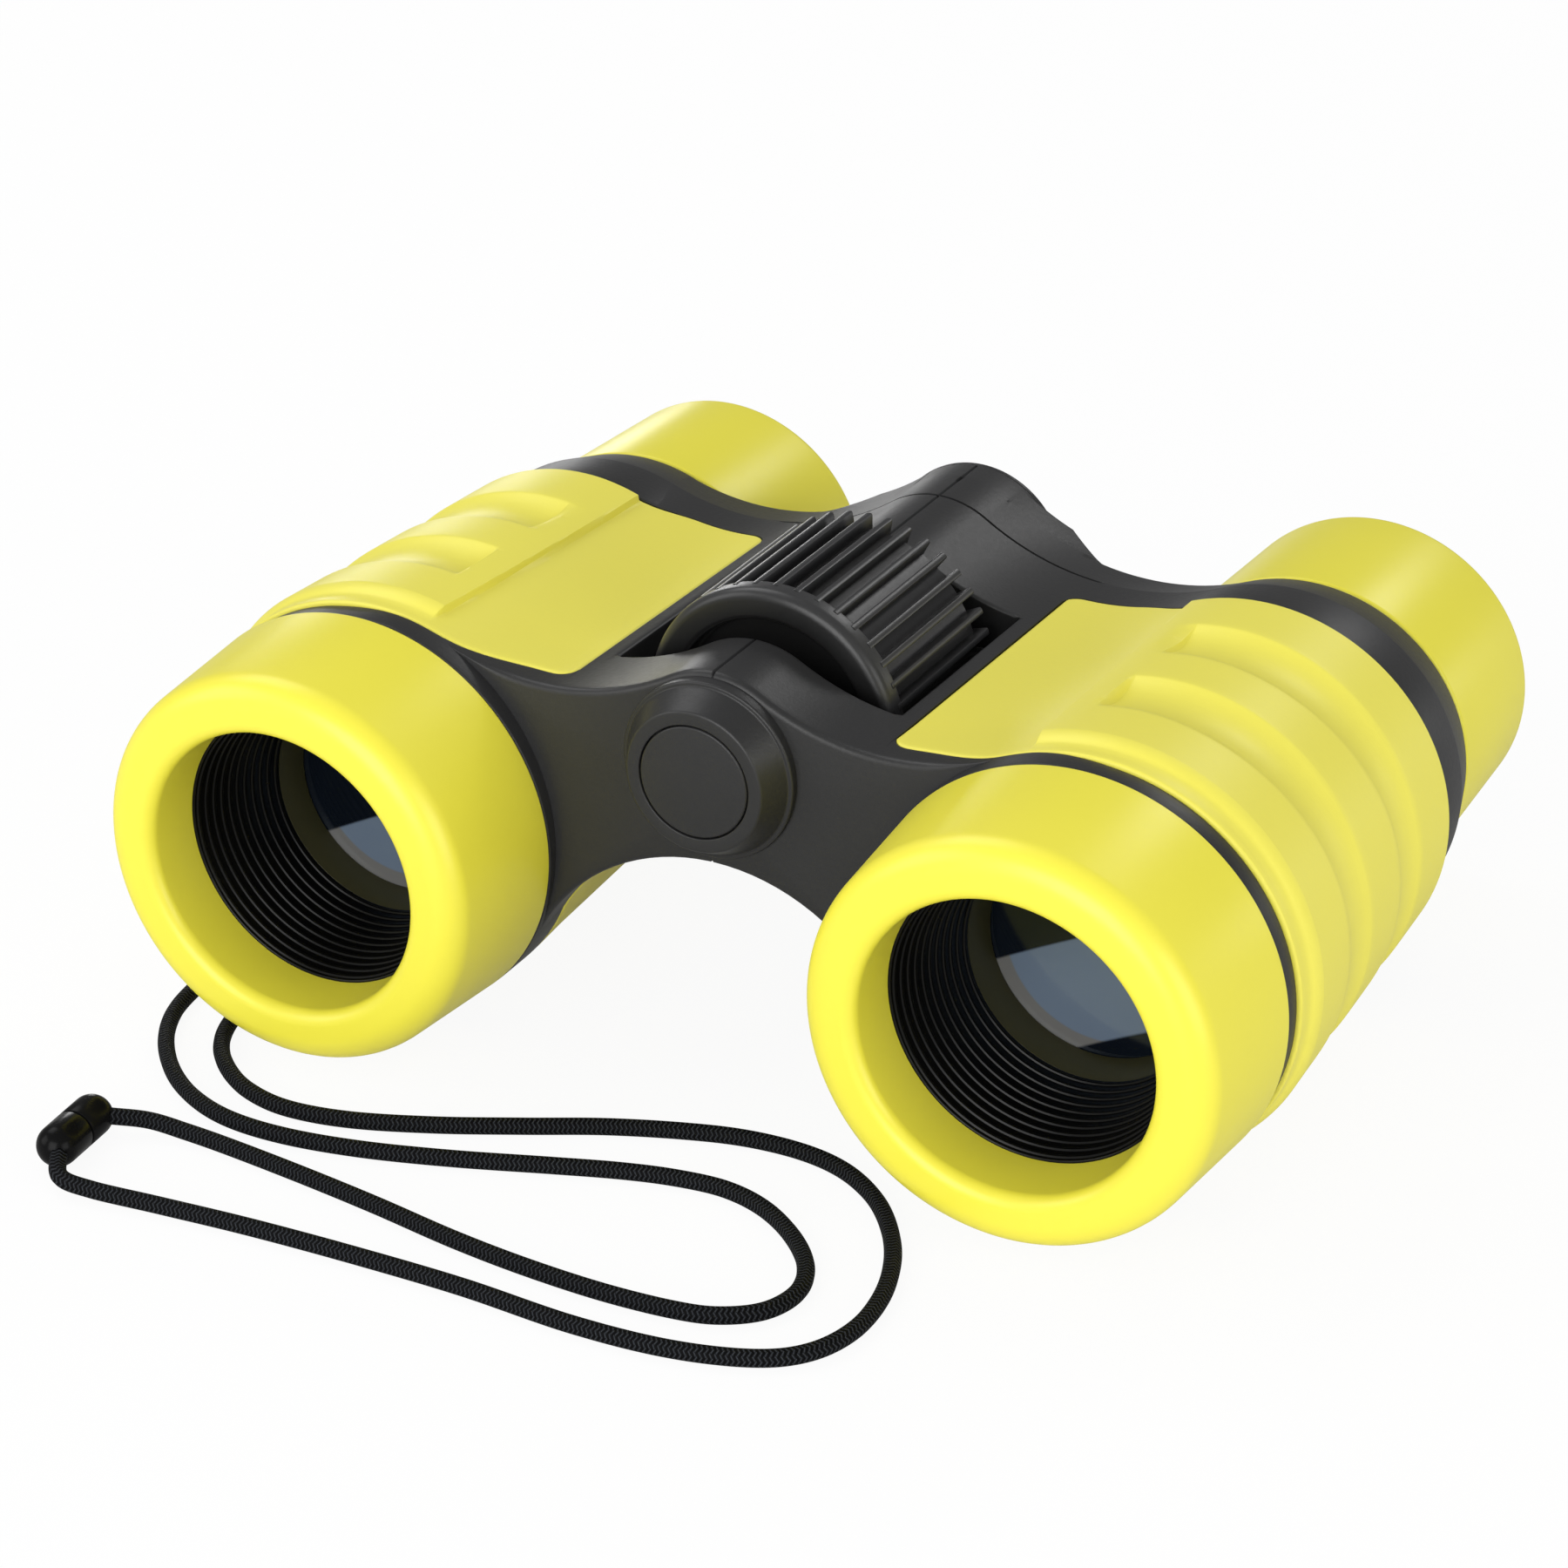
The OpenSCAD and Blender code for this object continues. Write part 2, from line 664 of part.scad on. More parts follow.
// Raised pad on a grip, a band round the outer side with two finger hollows
module pad(side) {
    sweep = 180 + 2 * pad_edge_deg;
    hollow_sweep = 180 + 2 * hollow_edge_deg;
    root = grip_t / 2;
    slope_y = pad_front_y - pad_slope_len * root / pad_t;
    pad_rear_y = grip_rear_y - gap;
    at_barrel(side) rotate([0, 0, side < 0 ? 180 : 0]) difference() {
        rotate([0, 0, -sweep / 2]) rotate_extrude(angle = sweep) polygon([
            [barrel_r(slope_y) - root, slope_y], [barrel_r(pad_top_y) + pad_t, pad_top_y],
            [barrel_r(pad_rear_y) + pad_t, pad_rear_y], [barrel_r(pad_rear_y) - root, pad_rear_y]
        ]);
        for (step = [-1, 1]) {
            y = hollow_mid_y + step * hollow_pitch / 2;
            rotate([0, 0, -hollow_sweep / 2]) rotate_extrude(angle = hollow_sweep)
                translate([barrel_r(y) + pad_t + hollow_r - hollow_depth, y]) circle(r = hollow_r);
        }
    }
}

module grip(side) {
    color(lemon) {
        difference() {
            intersection() {
                grip_column(side);
                body_form(side, 0);
            }
            body_form(side, grip_t);
        }
        pad(side);
    }
}
module left_grip() grip(left);
module right_grip() grip(right);

// Ring on the front of a barrel: a rounded lip, a seat for the hood tube and a spigot in the barrel
module front_ring(side) {
    seat_r = hood_r + slip;
    lip_mid = ring_front_r - ring_lip_r;
    color(lemon) at_barrel(side) rotate_extrude() polygon(concat(
        [[spigot_r, cell_front_y], [spigot_r, collar_y], [barrel_front_r, collar_y]],
        arc([lip_mid, nose_y + ring_lip_r], ring_lip_r, 0, -90),
        arc([ring_mouth_r + ring_inner_lip_r, nose_y + ring_inner_lip_r], ring_inner_lip_r, -90, -180),
        [[ring_mouth_r, hood_front_y], [seat_r, hood_front_y], [seat_r, cell_front_y]]
    ));
}
module left_front_ring() front_ring(left);
module right_front_ring() front_ring(right);

// Ribbed tube inside a ring, drawn in towards the lens
module hood_tube(side) {
    pitch = (cell_front_y - hood_front_y) / hood_ribs;
    narrowing = (hood_mouth_r - hood_end_r) / hood_ribs;
    color(shiny_black) at_barrel(side) rotate_extrude() polygon(concat(
        [[hood_r, cell_front_y], [hood_r, hood_front_y]],
        [for (i = [0:hood_ribs - 1], part = [0, 1]) [
            hood_mouth_r - (i + part) * narrowing + part * hood_rib_depth, hood_front_y + (i + part / 2) * pitch
        ]],
        [[hood_end_r, cell_front_y]]
    ));
}
module left_hood_tube() hood_tube(left);
module right_hood_tube() hood_tube(right);

// Cell that holds an objective lens against the step in the barrel's bore
module lens_cell(side) {
    color(shiny_black) at_barrel(side) {
        ring(cell_bore_r - slip, objective_r + slip, cell_front_y, objective_y + objective_edge_t);
        ring(cell_bore_r - slip, retainer_r, objective_y + objective_edge_t, cell_rear_y);
    }
}
module left_lens_cell() lens_cell(left);
module right_lens_cell() lens_cell(right);

// Lens with a flat rim between two heights, and two faces that bulge inside the rim
module lens(r, clear_r, low, high, sag) {
    steps = 8;
    bend = (pow(clear_r, 2) + pow(sag, 2)) / (2 * sag);
    bulge = [for (i = [0:steps]) let (x = clear_r * i / steps) [x, sqrt(bend * bend - x * x) - bend + sag]];
    rotate_extrude() polygon(concat(
        [for (p = bulge) [p.x, low - p.y]],
        [[r, low], [r, high]],
        [for (i = [steps:-1:0]) [bulge[i].x, high + bulge[i].y]]
    ));
}

module objective(side) {
    rear_y = objective_y + objective_edge_t;
    color(glass) at_barrel(side) lens(objective_r, retainer_r - gap, objective_y, rear_y, objective_sag);
}
module left_objective() objective(left);
module right_objective() objective(right);

module lens_retainer(side) {
    color(olive) at_barrel(side) rotate_extrude() polygon([
        [hood_end_r, cell_front_y], [objective_r, cell_front_y],
        [objective_r, objective_y], [retainer_r, objective_y]
    ]);
}
module left_lens_retainer() lens_retainer(left);
module right_lens_retainer() lens_retainer(right);

// Sliding tube of an eyepiece, with a seat for its lens and a socket for the yoke's tongue
module eyepiece_tube(side) {
    color(shiny_black) difference() {
        at_barrel(side) {
            ring(tube_r, tube_inner_r, tube_front_y, tube_rear_y);
            ring(tube_inner_r + tube_wall / 2, eye_stop_r, eye_lens_y - eye_seat_t, eye_lens_y);
        }
        mirror([side < 0 ? 1 : 0, 0, 0]) block(
            [0, yoke_front_y - cover_fit, arm_z - yoke_arm_h / 2 - cover_fit],
            [half_spacing, yoke_front_y + yoke_t + cover_fit, arm_z + yoke_arm_h / 2 + cover_fit]
        );
    }
}
module left_eyepiece_tube() eyepiece_tube(left);
module right_eyepiece_tube() eyepiece_tube(right);

module eyecup(side) {
    rounding = eyecup_round_r;
    lip_in = eyecup_mouth_r + rounding;
    color(lemon) at_barrel(side) rotate_extrude() polygon(concat(
        [[tube_r + slip, eyecup_front_y], [eyecup_front_r, eyecup_front_y]],
        arc([eyecup_rear_r - rounding, eyecup_rear_y - rounding], rounding, 0, 90),
        arc([lip_in, eyecup_rear_y - rounding], rounding, 90, 180),
        [[eyecup_mouth_r, tube_rear_y], [tube_r + slip, tube_rear_y]]
    ));
}
module left_eyecup() eyecup(left);
module right_eyecup() eyecup(right);

module eye_lens(side) {
    r = tube_inner_r - slip;
    color(glass) at_barrel(side) lens(r, eye_stop_r - gap, eye_lens_y, eye_retainer_y, eye_lens_sag);
}
module left_eye_lens() eye_lens(left);
module right_eye_lens() eye_lens(right);

module eye_retainer(side) {
    r = tube_inner_r - slip;
    color(shiny_black) at_barrel(side) ring(r, eye_stop_r, eye_retainer_y, eye_retainer_y + eye_retainer_len);
}
module left_eye_retainer() eye_retainer(left);
module right_eye_retainer() eye_retainer(right);

// Wheel with a smooth flange in front, a ribbed drum and a hub that fills its window
module focus_wheel() {
    hub_y = window_front_y + gap;
    flange_y = hub_y + hub_end;
    rib_y = flange_y + flange_len;
    rear_y = rib_y + rib_len;
    root_r = wheel_r - rib_h;
    dish_r = root_r - drum_wall;
    web_y = flange_y + flange_len;
    web_t = drum_wall;
    round_r = flange_len / 2;
    color(black) at_focus() difference() {
        union() {
            rotate_extrude() polygon(concat(
                [[0, hub_y], [hub_r, hub_y], [hub_r, web_y], [dish_r, web_y], [dish_r, flange_y + round_r]],
                [[dish_r + round_r, flange_y]],
                arc([flange_r - round_r, flange_y + round_r], round_r, -90, 90),
                [[root_r, rib_y], [root_r, rear_y], [dish_r, rear_y], [dish_r, web_y + web_t]],
                [[hub_r, web_y + web_t], [hub_r, hub_y + hub_len], [0, hub_y + hub_len]]
            ));
            for (i = [0:rib_count - 1]) rotate([0, 0, i * 360 / rib_count])
                translate([root_r - drum_wall / 2, -rib_w / 2, rib_y - round_r / 2])
                    cube([rib_h + drum_wall / 2, rib_w, rib_len + round_r / 2 - gap]);
        }
        rod(shaft_r, hub_y - over, hub_y + hub_len + over);
    }
}

module focus_shaft() {
    color(steel) at_focus() rod(shaft_r, shaft_front_y, shaft_rear_y);
}

module front_bush() {
    color(brass) at_focus() ring(bush_r, shaft_r + running, front_bush_y, window_front_y);
}

module rear_bush() {
    color(brass) at_focus() ring(bush_r, shaft_r + running, rear_bush_y, hump_y);
}

module focus_nut() {
    color(brass) at_focus() ring(nut_r, shaft_r + running, nut_front_y, nut_front_y + nut_len);
}

// Yoke that carries both eyepiece tubes on the nut
module focus_yoke() {
    color(black) difference() {
        union() {
            at_focus() rod(yoke_ring_r, yoke_front_y, yoke_front_y + yoke_t);
            block(
                [-arm_tip_x, yoke_front_y, arm_z - yoke_arm_h / 2],
                [arm_tip_x, yoke_front_y + yoke_t, arm_z + yoke_arm_h / 2]
            );
        }
        at_focus() rod(nut_r, yoke_front_y - over, yoke_front_y + yoke_t + over);
    }
}

// Route of the cord from the lug along the left barrel, out in front and back to one end of the clasp
cord_a_route = [
    lug_hole, [-45.6, 13.5, 4.6], [-45.9, 8, 4.1], [-46.3, 2, 2.9], [-46.6, -5, 1.7],
    [-46.8, -12, 1], [-46.9, -19, 0.8], [-46.8, -26, 0.8], [-46.6, -31, 0.8], [-45.7, -35.4, 0.8],
    [-43.5, -39.6, 0.8], [-40, -43.5, 0.8], [-36, -46.2, 0.8], [-31.5, -47.7, 0.8], [-26, -47.9, 0.8],
    [-19.5, -46.9, 0.8], [-12.3, -44.9, 0.8], [-5, -42.4, 0.8], [0.5, -40.6, 0.8], [5, -39.6, 0.8],
    [9.2, -39.4, 0.8], [13.2, -40.6, 0.8], [17, -43.2, 0.8], [19.8, -46.4, 0.8], [20.9, -49.8, 0.8],
    [20, -53, 0.8], [17.4, -55.1, 0.8], [14, -56, 0.8], [8, -56.3, 0.8], [1, -55.9, 0.8],
    [-6, -55, 0.8], [-14, -53.5, 0.8], [-21.5, -52.3, 0.8], [-29, -51.3, 0.8], [-33.5, -51, 0.9],
    [-36.8, -51.4, 1.3], far_seat
];

// Route of its other half, from the lug's far side round and forward to the clasp's other end
cord_b_route = [
    lug_hole, [-45.6, 20, 4.6], [-45.2, 23, 4], [-43.8, 25.3, 3], [-41.9, 25.4, 2],
    [-40.7, 23.2, 1.2], [-40.6, 19.5, 0.8], [-40.8, 12, 0.8], [-41, 4, 0.8], [-41.2, -5, 0.8],
    [-41.3, -14, 0.8], [-41.4, -23, 0.8], [-41.3, -30, 0.8], [-40.5, -34.8, 0.8], [-38.8, -38.4, 0.8],
    [-36, -41.3, 0.8], [-32.6, -43.3, 0.8], [-28.4, -44.2, 0.8], [-23, -43.5, 0.8], [-16.5, -41.2, 0.8],
    [-10, -38.2, 0.8], [-4, -35.3, 0.8], [2, -33.1, 0.8], [7, -31.9, 0.8], [12, -31.8, 0.8],
    [16.2, -32.9, 0.8], [20, -35.4, 0.8], [23, -38.8, 0.8], [25.3, -42.8, 0.8], [26.8, -47.6, 0.8],
    [27, -52.4, 0.8], [25.5, -56.4, 0.8], [22.2, -59, 0.8], [16, -60.7, 0.8], [8, -61.1, 0.8],
    [-2, -60.4, 0.8], [-12, -60.3, 0.8], [-21, -60.5, 0.8], [-29, -61, 0.8], [-35, -61.7, 1],
    [-38, -61.6, 1.3], near_seat
];

// Tube swept along a route, with flat ends square to it
module cord(route) {
    sides = 8;
    last = len(route) - 1;
    r = cord_d / 2;
    rings = [for (i = [0:last])
        let (
            way = route[min(i + 1, last)] - route[max(i - 1, 0)],
            across = cross(way, [0, 0, 1]) / norm(cross(way, [0, 0, 1])),
            lift = cross(across, way) / norm(way)
        )
        [for (k = [0:sides - 1]) let (a = 360 * (k + 0.5) / sides)
            route[i] + r * (cos(a) * across + sin(a) * lift)]
    ];
    points = [for (row = rings) each row];
    walls = [for (i = [0:last - 1], k = [0:sides - 1])
        let (a = i * sides + k, b = i * sides + (k + 1) % sides)
        each [[a, b, b + sides], [a, b + sides, a + sides]]
    ];
    front_end = [for (k = [1:sides - 2]) [0, k + 1, k]];
    base = last * sides;
    rear_end = [for (k = [1:sides - 2]) [base, base + k, base + k + 1]];
    color(black) polyhedron(points, concat(walls, front_end, rear_end));
}
module neck_cord_a() cord(cord_a_route);
module neck_cord_b() cord(cord_b_route);

// Stand a shape that is drawn upright in one end of the clasp, pointing at the other end
module at_clasp(from, to) {
    way = to - from;
    translate(from) rotate([0, 0, atan2(way.y, way.x)]) rotate([0, 90, 0]) children();
}

// One half of the clasp: a rounded end and a straight wall up to the joint
module clasp_half() {
    rotate_extrude() polygon(concat([[0, clasp_reach], [clasp_r, clasp_reach]], arc([0, 0], clasp_r, 0, -90)));
}

module clasp_socket() {
    color(shiny_black) at_clasp(clasp_far, clasp_near) difference() {
        clasp_half();
        rod(clasp_plug_r + running, clasp_reach - clasp_plug_len - gap, clasp_reach + over);
    }
}

module clasp_plug() {
    color(shiny_black) at_clasp(clasp_near, clasp_far) {
        clasp_half();
        rod(clasp_plug_r, 0, clasp_reach + clasp_plug_len);
    }
}

left_body();
right_body();
bridge_cover();
cover_screws();
front_boss();
boss_disc();
rear_cap();
left_grip();
right_grip();
left_front_ring();
right_front_ring();
left_hood_tube();
right_hood_tube();
left_lens_cell();
right_lens_cell();
left_objective();
right_objective();
left_lens_retainer();
right_lens_retainer();
left_eyepiece_tube();
right_eyepiece_tube();
left_eyecup();
right_eyecup();
left_eye_lens();
right_eye_lens();
left_eye_retainer();
right_eye_retainer();
focus_wheel();
focus_shaft();
front_bush();
rear_bush();
focus_nut();
focus_yoke();
neck_cord_a();
neck_cord_b();
clasp_socket();
clasp_plug();
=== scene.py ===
from math import acos, asin, atan2, cos, pi, radians, sin, sqrt, tan

import bmesh
import bpy
import numpy as np
from bpy.props import FloatProperty, FloatVectorProperty, IntProperty, PointerProperty
from mathutils import Matrix, Vector


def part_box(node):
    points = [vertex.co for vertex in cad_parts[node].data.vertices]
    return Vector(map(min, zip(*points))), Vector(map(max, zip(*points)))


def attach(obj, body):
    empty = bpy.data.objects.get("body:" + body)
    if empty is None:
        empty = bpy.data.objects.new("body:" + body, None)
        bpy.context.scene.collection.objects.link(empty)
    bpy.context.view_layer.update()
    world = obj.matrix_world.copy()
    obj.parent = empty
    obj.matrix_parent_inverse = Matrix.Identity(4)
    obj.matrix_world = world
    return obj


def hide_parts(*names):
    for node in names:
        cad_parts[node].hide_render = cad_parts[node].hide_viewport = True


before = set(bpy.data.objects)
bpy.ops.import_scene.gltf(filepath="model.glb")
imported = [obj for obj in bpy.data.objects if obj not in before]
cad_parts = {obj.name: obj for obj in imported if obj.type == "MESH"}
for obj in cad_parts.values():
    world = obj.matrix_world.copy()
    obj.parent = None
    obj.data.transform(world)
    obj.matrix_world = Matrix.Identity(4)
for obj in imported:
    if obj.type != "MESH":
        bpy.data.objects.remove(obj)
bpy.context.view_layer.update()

bl_info = {
    "name": "Toy binoculars",
    "version": (1, 0, 0),
    "blender": (4, 5, 0),
    "location": "View3D > Sidebar > Binoculars",
    "description": "Dresses the packed toy binoculars and sets up their studio",
    "category": "Object",
}

# Sizes are in millimetres in the shape code and become metres in the meshes
MM = 0.001
SIDES = ((-1, "left"), (1, "right"))


def box(node):
    """Lowest and highest corner of a CAD node, in millimetres."""
    low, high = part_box(node)
    return np.array(low) / MM, np.array(high) / MM


# Places that all pieces share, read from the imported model
ring_low, ring_high = box("right_front_ring")
grip_low, grip_high = box("right_grip")
body_low, body_high = box("right_body")
cup_low, cup_high = box("right_eyecup")
tube_low, tube_high = box("right_eyepiece_tube")
hood_low, hood_high = box("right_hood_tube")
cell_high = box("right_lens_cell")[1]
lens_high = box("right_objective")[1]
keeper_low, keeper_high = box("right_lens_retainer")
eye_low, eye_high = box("right_eye_lens")
stop_low, stop_high = box("right_eye_retainer")
wheel_low, wheel_high = box("focus_wheel")
boss_low, boss_high = box("front_boss")
disc_low, disc_high = box("boss_disc")
cap_low, cap_high = box("rear_cap")
bush_low, bush_high = box("front_bush")

half = (ring_low[0] + ring_high[0]) / 2
axis_z = (ring_low[2] + ring_high[2]) / 2
focus_z = (wheel_low[2] + wheel_high[2]) / 2
rise = focus_z - axis_z
nose_y = ring_low[1]
collar_y = body_low[1]
hump_y = body_high[1]
grip_front_y, grip_rear_y = grip_low[1], grip_high[1]
cup_gap, wheel_gap = 0.3, 0.3
tail_y = cup_low[1] - cup_gap
window_front, window_rear = wheel_low[1] - wheel_gap, wheel_high[1] + wheel_gap
window_x = wheel_high[0] + 1.4
panel_x = grip_low[0]
front_r = ring_high[0] - half
hump_r = (cap_high[0] - cap_low[0]) / 2
tube_r = (tube_high[0] - tube_low[0]) / 2

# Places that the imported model's boxes don't give. The plate leans back above its foot, which is so far below
# the barrels' axis, and the arch rises less where the barrel is wider.
plate_y = collar_y + 0.4
plate_lean, plate_foot = 0.054, 10.0
boss_y = collar_y + 1.5
crease_y = tail_y - 4.7
grip_end_r, crease_r, rear_r = 16.3, 15.8, 14.5
cell_bore_r, barrel_bore_r = 14.2, 13.2
valley_r = 23.0
arch_rise_front, arch_rise_rear = 1.95, 3.0
arch_front_r, arch_rear_r = 17.4, 16.7
panel_t, panel_corner = 1.0, 1.5
panel_sink = panel_t - 0.02
# Where the bridge's columns stop before the window and start under the panel, and its depth in a barrel
window_stop, arch_start, barrel_bite = window_x - 0.4, panel_x + 1.1, 1.5


def mm_property(name, text, value):
    """A length in millimetres."""
    return FloatProperty(name=name, description=text + " in mm", default=value)


def angle_property(name, text, degrees):
    """An angle, shown in degrees."""
    return FloatProperty(name=name, description=text, default=radians(degrees), subtype="ANGLE")


def colour_property(name, text, value):
    """A colour in linear values."""
    return FloatVectorProperty(name=name, description=text, default=value, subtype="COLOR")


class BodySizes(bpy.types.PropertyGroup):
    """Small forms of the two half bodies."""

    plate_round: mm_property("Front edge", "Rounding of the bridge's front edge", 0.6)
    arch_round: mm_property("Arch edge", "Rounding of the arch's front edge", 0.4)
    window_round: mm_property("Window rim", "Rounding round the wheel's window", 0.35)
    seam_depth: mm_property("Seam depth", "Depth of the parting lines", 0.22)
    seam_width: mm_property("Seam width", "Half width of the parting lines", 0.15)
    panel_gap: mm_property("Panel gap", "Gap round a grip's panel", 0.1)
    collar_sink: mm_property("Collar sink", "Depth of the black collar behind a front ring", 0.35)


class GripSizes(bpy.types.PropertyGroup):
    """Forms of the yellow grips."""

    pad_height: mm_property("Pad height", "Height of the raised pad", 0.65)
    pad_edge: angle_property("Pad edge", "Angle of the pad's straight edges", 107)
    pad_swing: angle_property("Pad swing", "Turn of the pad's inner edge from its front to its rear", 4.5)
    hollow_edge: angle_property("Hollow end", "Angle of a finger hollow's end", 100)
    hollow_radius: mm_property("Hollow radius", "Radius of a finger hollow's section", 7.0)
    hollow_depth: mm_property("Hollow depth", "Depth of a finger hollow", 0.85)
    hollow_pitch: mm_property("Hollow pitch", "Distance between the finger hollows", 12.0)
    rim: mm_property("Rim", "Rounding of the panel's edge", 0.3)
    corner: mm_property("Corner", "Radius of the panel's corners", 1.5)


class OpticSizes(bpy.types.PropertyGroup):
    """Forms of the rings, the hoods and the lenses."""

    lip_round: mm_property("Lip rounding", "Outer rounding of a front ring's lip", 3.3)
    inner_round: mm_property("Inner rounding", "Inner rounding of a front ring's lip", 1.2)
    mouth_radius: mm_property("Mouth radius", "Radius of a front ring's mouth", 12.2)
    hood_ribs: IntProperty(name="Hood ribs", description="Number of fine ribs in a hood tube", default=11)
    hood_rib_radius: mm_property("Hood rib radius", "Radius of a rib's section", 0.2)
    lens_dish: mm_property("Lens dish", "Depth of the objective's hollow front", 0.8)
    eye_bulge: mm_property("Eye lens bulge", "Bulge of an eye lens", 1.1)


class WheelSizes(bpy.types.PropertyGroup):
    """Forms of the focus wheel."""

    rib_count: IntProperty(name="Ribs", description="Number of ribs round the wheel", default=38)
    rib_width: mm_property("Rib width", "Width of a rib", 0.62)
    rib_height: mm_property("Rib height", "Height of a rib", 1.05)
    rib_round: mm_property("Rib rounding", "Rounding of a rib's edges", 0.16)
    flange_drop: mm_property("Flange drop", "Drop of the front flange below the ribs", 0.05)


class CordSizes(bpy.types.PropertyGroup):
    """The neck cord."""

    diameter: FloatProperty(
        name="Diameter", description="Diameter of the cord", default=0.0014, unit="LENGTH")
    ring_step: mm_property("Ring step", "Distance between the rings of the cord's mesh", 0.3)
    clasp_length: mm_property("Clasp length", "Length of the clasp", 8.372)


class FinishColours(bpy.types.PropertyGroup):
    """Colours of the mouldings and the lenses."""

    black: colour_property("Black", "Colour of the bodies", (0.0208, 0.0208, 0.02145))
    lemon: colour_property("Lemon", "Colour of the rings and eyecups", (0.84, 0.765, 0.06))
    grip: colour_property("Grip", "Colour of the grips", (0.85, 0.775, 0.098))
    olive: colour_property("Olive", "Colour of the lens retainers", (0.0396, 0.0378, 0.0162))
    glass: colour_property("Glass", "Colour in the lenses", (0.004, 0.006, 0.010))
    # Colour of the reflection painted into the objectives as a pale band
    painted_reflection: colour_property("Sheen", "Colour of the lens coating", (0.125, 0.165, 0.23))


class StudioSettings(bpy.types.PropertyGroup):
    """The camera."""

    azimuth: angle_property("Azimuth", "Turn of the camera from the front", 28.41)
    elevation: angle_property("Elevation", "Height angle of the camera", 26.23)
    roll: angle_property("Roll", "Roll of the camera", -1.03)
    place: FloatVectorProperty(
        name="Place", description="Place of the camera", default=(0.1518, -0.2925, 0.1789),
        subtype="TRANSLATION")
    focal: mm_property("Focal length", "Focal length on a 36 mm frame", 100.43)


# Shader expressions

class Shade:
    """An output socket that takes part in arithmetic and adds Math nodes for it."""

    def __init__(self, tree, socket):
        self.tree = tree
        self.socket = socket

    def math(self, operation, first, second=None):
        made = self.tree.nodes.new("ShaderNodeMath")
        made.operation = operation
        for place, value in enumerate((first, second)):
            if isinstance(value, Shade):
                self.tree.links.new(value.socket, made.inputs[place])
            elif value is not None:
                made.inputs[place].default_value = value
        return Shade(self.tree, made.outputs[0])

    def __add__(self, other):
        return self.math("ADD", self, other)

    def __radd__(self, other):
        return self.math("ADD", other, self)

    def __sub__(self, other):
        return self.math("SUBTRACT", self, other)

    def __rsub__(self, other):
        return self.math("SUBTRACT", other, self)

    def __mul__(self, other):
        return self.math("MULTIPLY", self, other)

    def __rmul__(self, other):
        return self.math("MULTIPLY", other, self)

    def __truediv__(self, other):
        return self.math("DIVIDE", self, other)

    def __rtruediv__(self, other):
        return self.math("DIVIDE", other, self)

    def __pow__(self, other):
        return self.math("POWER", self, other)

    def wave(self):
        return self.math("SINE", self)

    def size(self):
        return self.math("ABSOLUTE", self)

    def larger(self, other):
        return self.math("MAXIMUM", self, other)


class Nodes:
    """A shader tree. One method adds every node but Math."""

    def __init__(self, tree):
        self.tree = tree

    def node(self, kind, sockets=None, **settings):
        made = self.tree.nodes.new(kind)
        for key, value in settings.items():
            setattr(made, key, value)
        for key, value in (sockets or {}).items():
            self.feed(made.inputs[key], value)
        return made

    def feed(self, socket, value):
        if isinstance(value, Shade):
            self.tree.links.new(value.socket, socket)
        else:
            socket.default_value = value

    def take(self, made, output=0):
        return Shade(self.tree, made.outputs[output])

    def ray(self, kind):
        """1 for the rays of a kind, 0 for all others."""
        return self.take(self.node("ShaderNodeLightPath"), f"Is {kind} Ray")

    def seen(self):
        """1 for the rays that show the background: camera and transmission rays."""
        return self.ray("Camera").larger(self.ray("Transmission"))

    def mixed(self, mask, first, second):
        """Shader that goes from first to second as the mask goes from 0 to 1."""
        return self.take(self.node("ShaderNodeMixShader", {0: mask, 1: first, 2: second}))

    def show(self, shader, output):
        self.feed(self.tree.nodes[output].inputs["Surface"], shader)


class Finish(Nodes):
    """A material with a Principled shader and the nodes that feed it."""

    def __init__(self, name):
        self.material = bpy.data.materials.new(name)
        self.material.use_nodes = True
        super().__init__(self.material.node_tree)
        self.shader = self.tree.nodes["Principled BSDF"]

    def axes(self, names):
        """The named Object coordinates, in millimetres."""
        made = self.node("ShaderNodeSeparateXYZ", {"Vector": self.place()})
        return [self.take(made, name) / MM for name in names]

    def place(self, kind="Object"):
        return self.take(self.node("ShaderNodeTexCoord"), kind)

    def noise(self, scale, detail=2.0, roughness=0.5):
        made = self.node("ShaderNodeTexNoise", {
            "Vector": self.place(), "Scale": scale, "Detail": detail, "Roughness": roughness})
        return self.take(made, "Fac")

    def mix(self, mask, first, second):
        """Colour that goes from first to second as the mask goes from 0 to 1."""
        return self.take(self.node("ShaderNodeMix", {0: mask, 6: first, 7: second}, data_type="RGBA"), 2)

    def blend(self, mask, first, second):
        return self.mix(mask, (*first, 1), (*second, 1))

    def step(self, value, low, high):
        """Mask that goes smoothly from 0 at low to 1 at high."""
        return self.take(self.node("ShaderNodeMapRange", {
            "Value": value, "From Min": low, "From Max": high}, interpolation_type="SMOOTHSTEP"))

    def bump(self, height, strength, distance):
        return self.take(self.node("ShaderNodeBump", {
            "Strength": strength, "Distance": distance, "Height": height}))

    def set(self, **sockets):
        for key, value in sockets.items():
            self.feed(self.shader.inputs[key.replace("_", " ")], value)
        return self.material


def shaded(colour, share):
    return tuple(min(1.0, part * share) for part in colour)


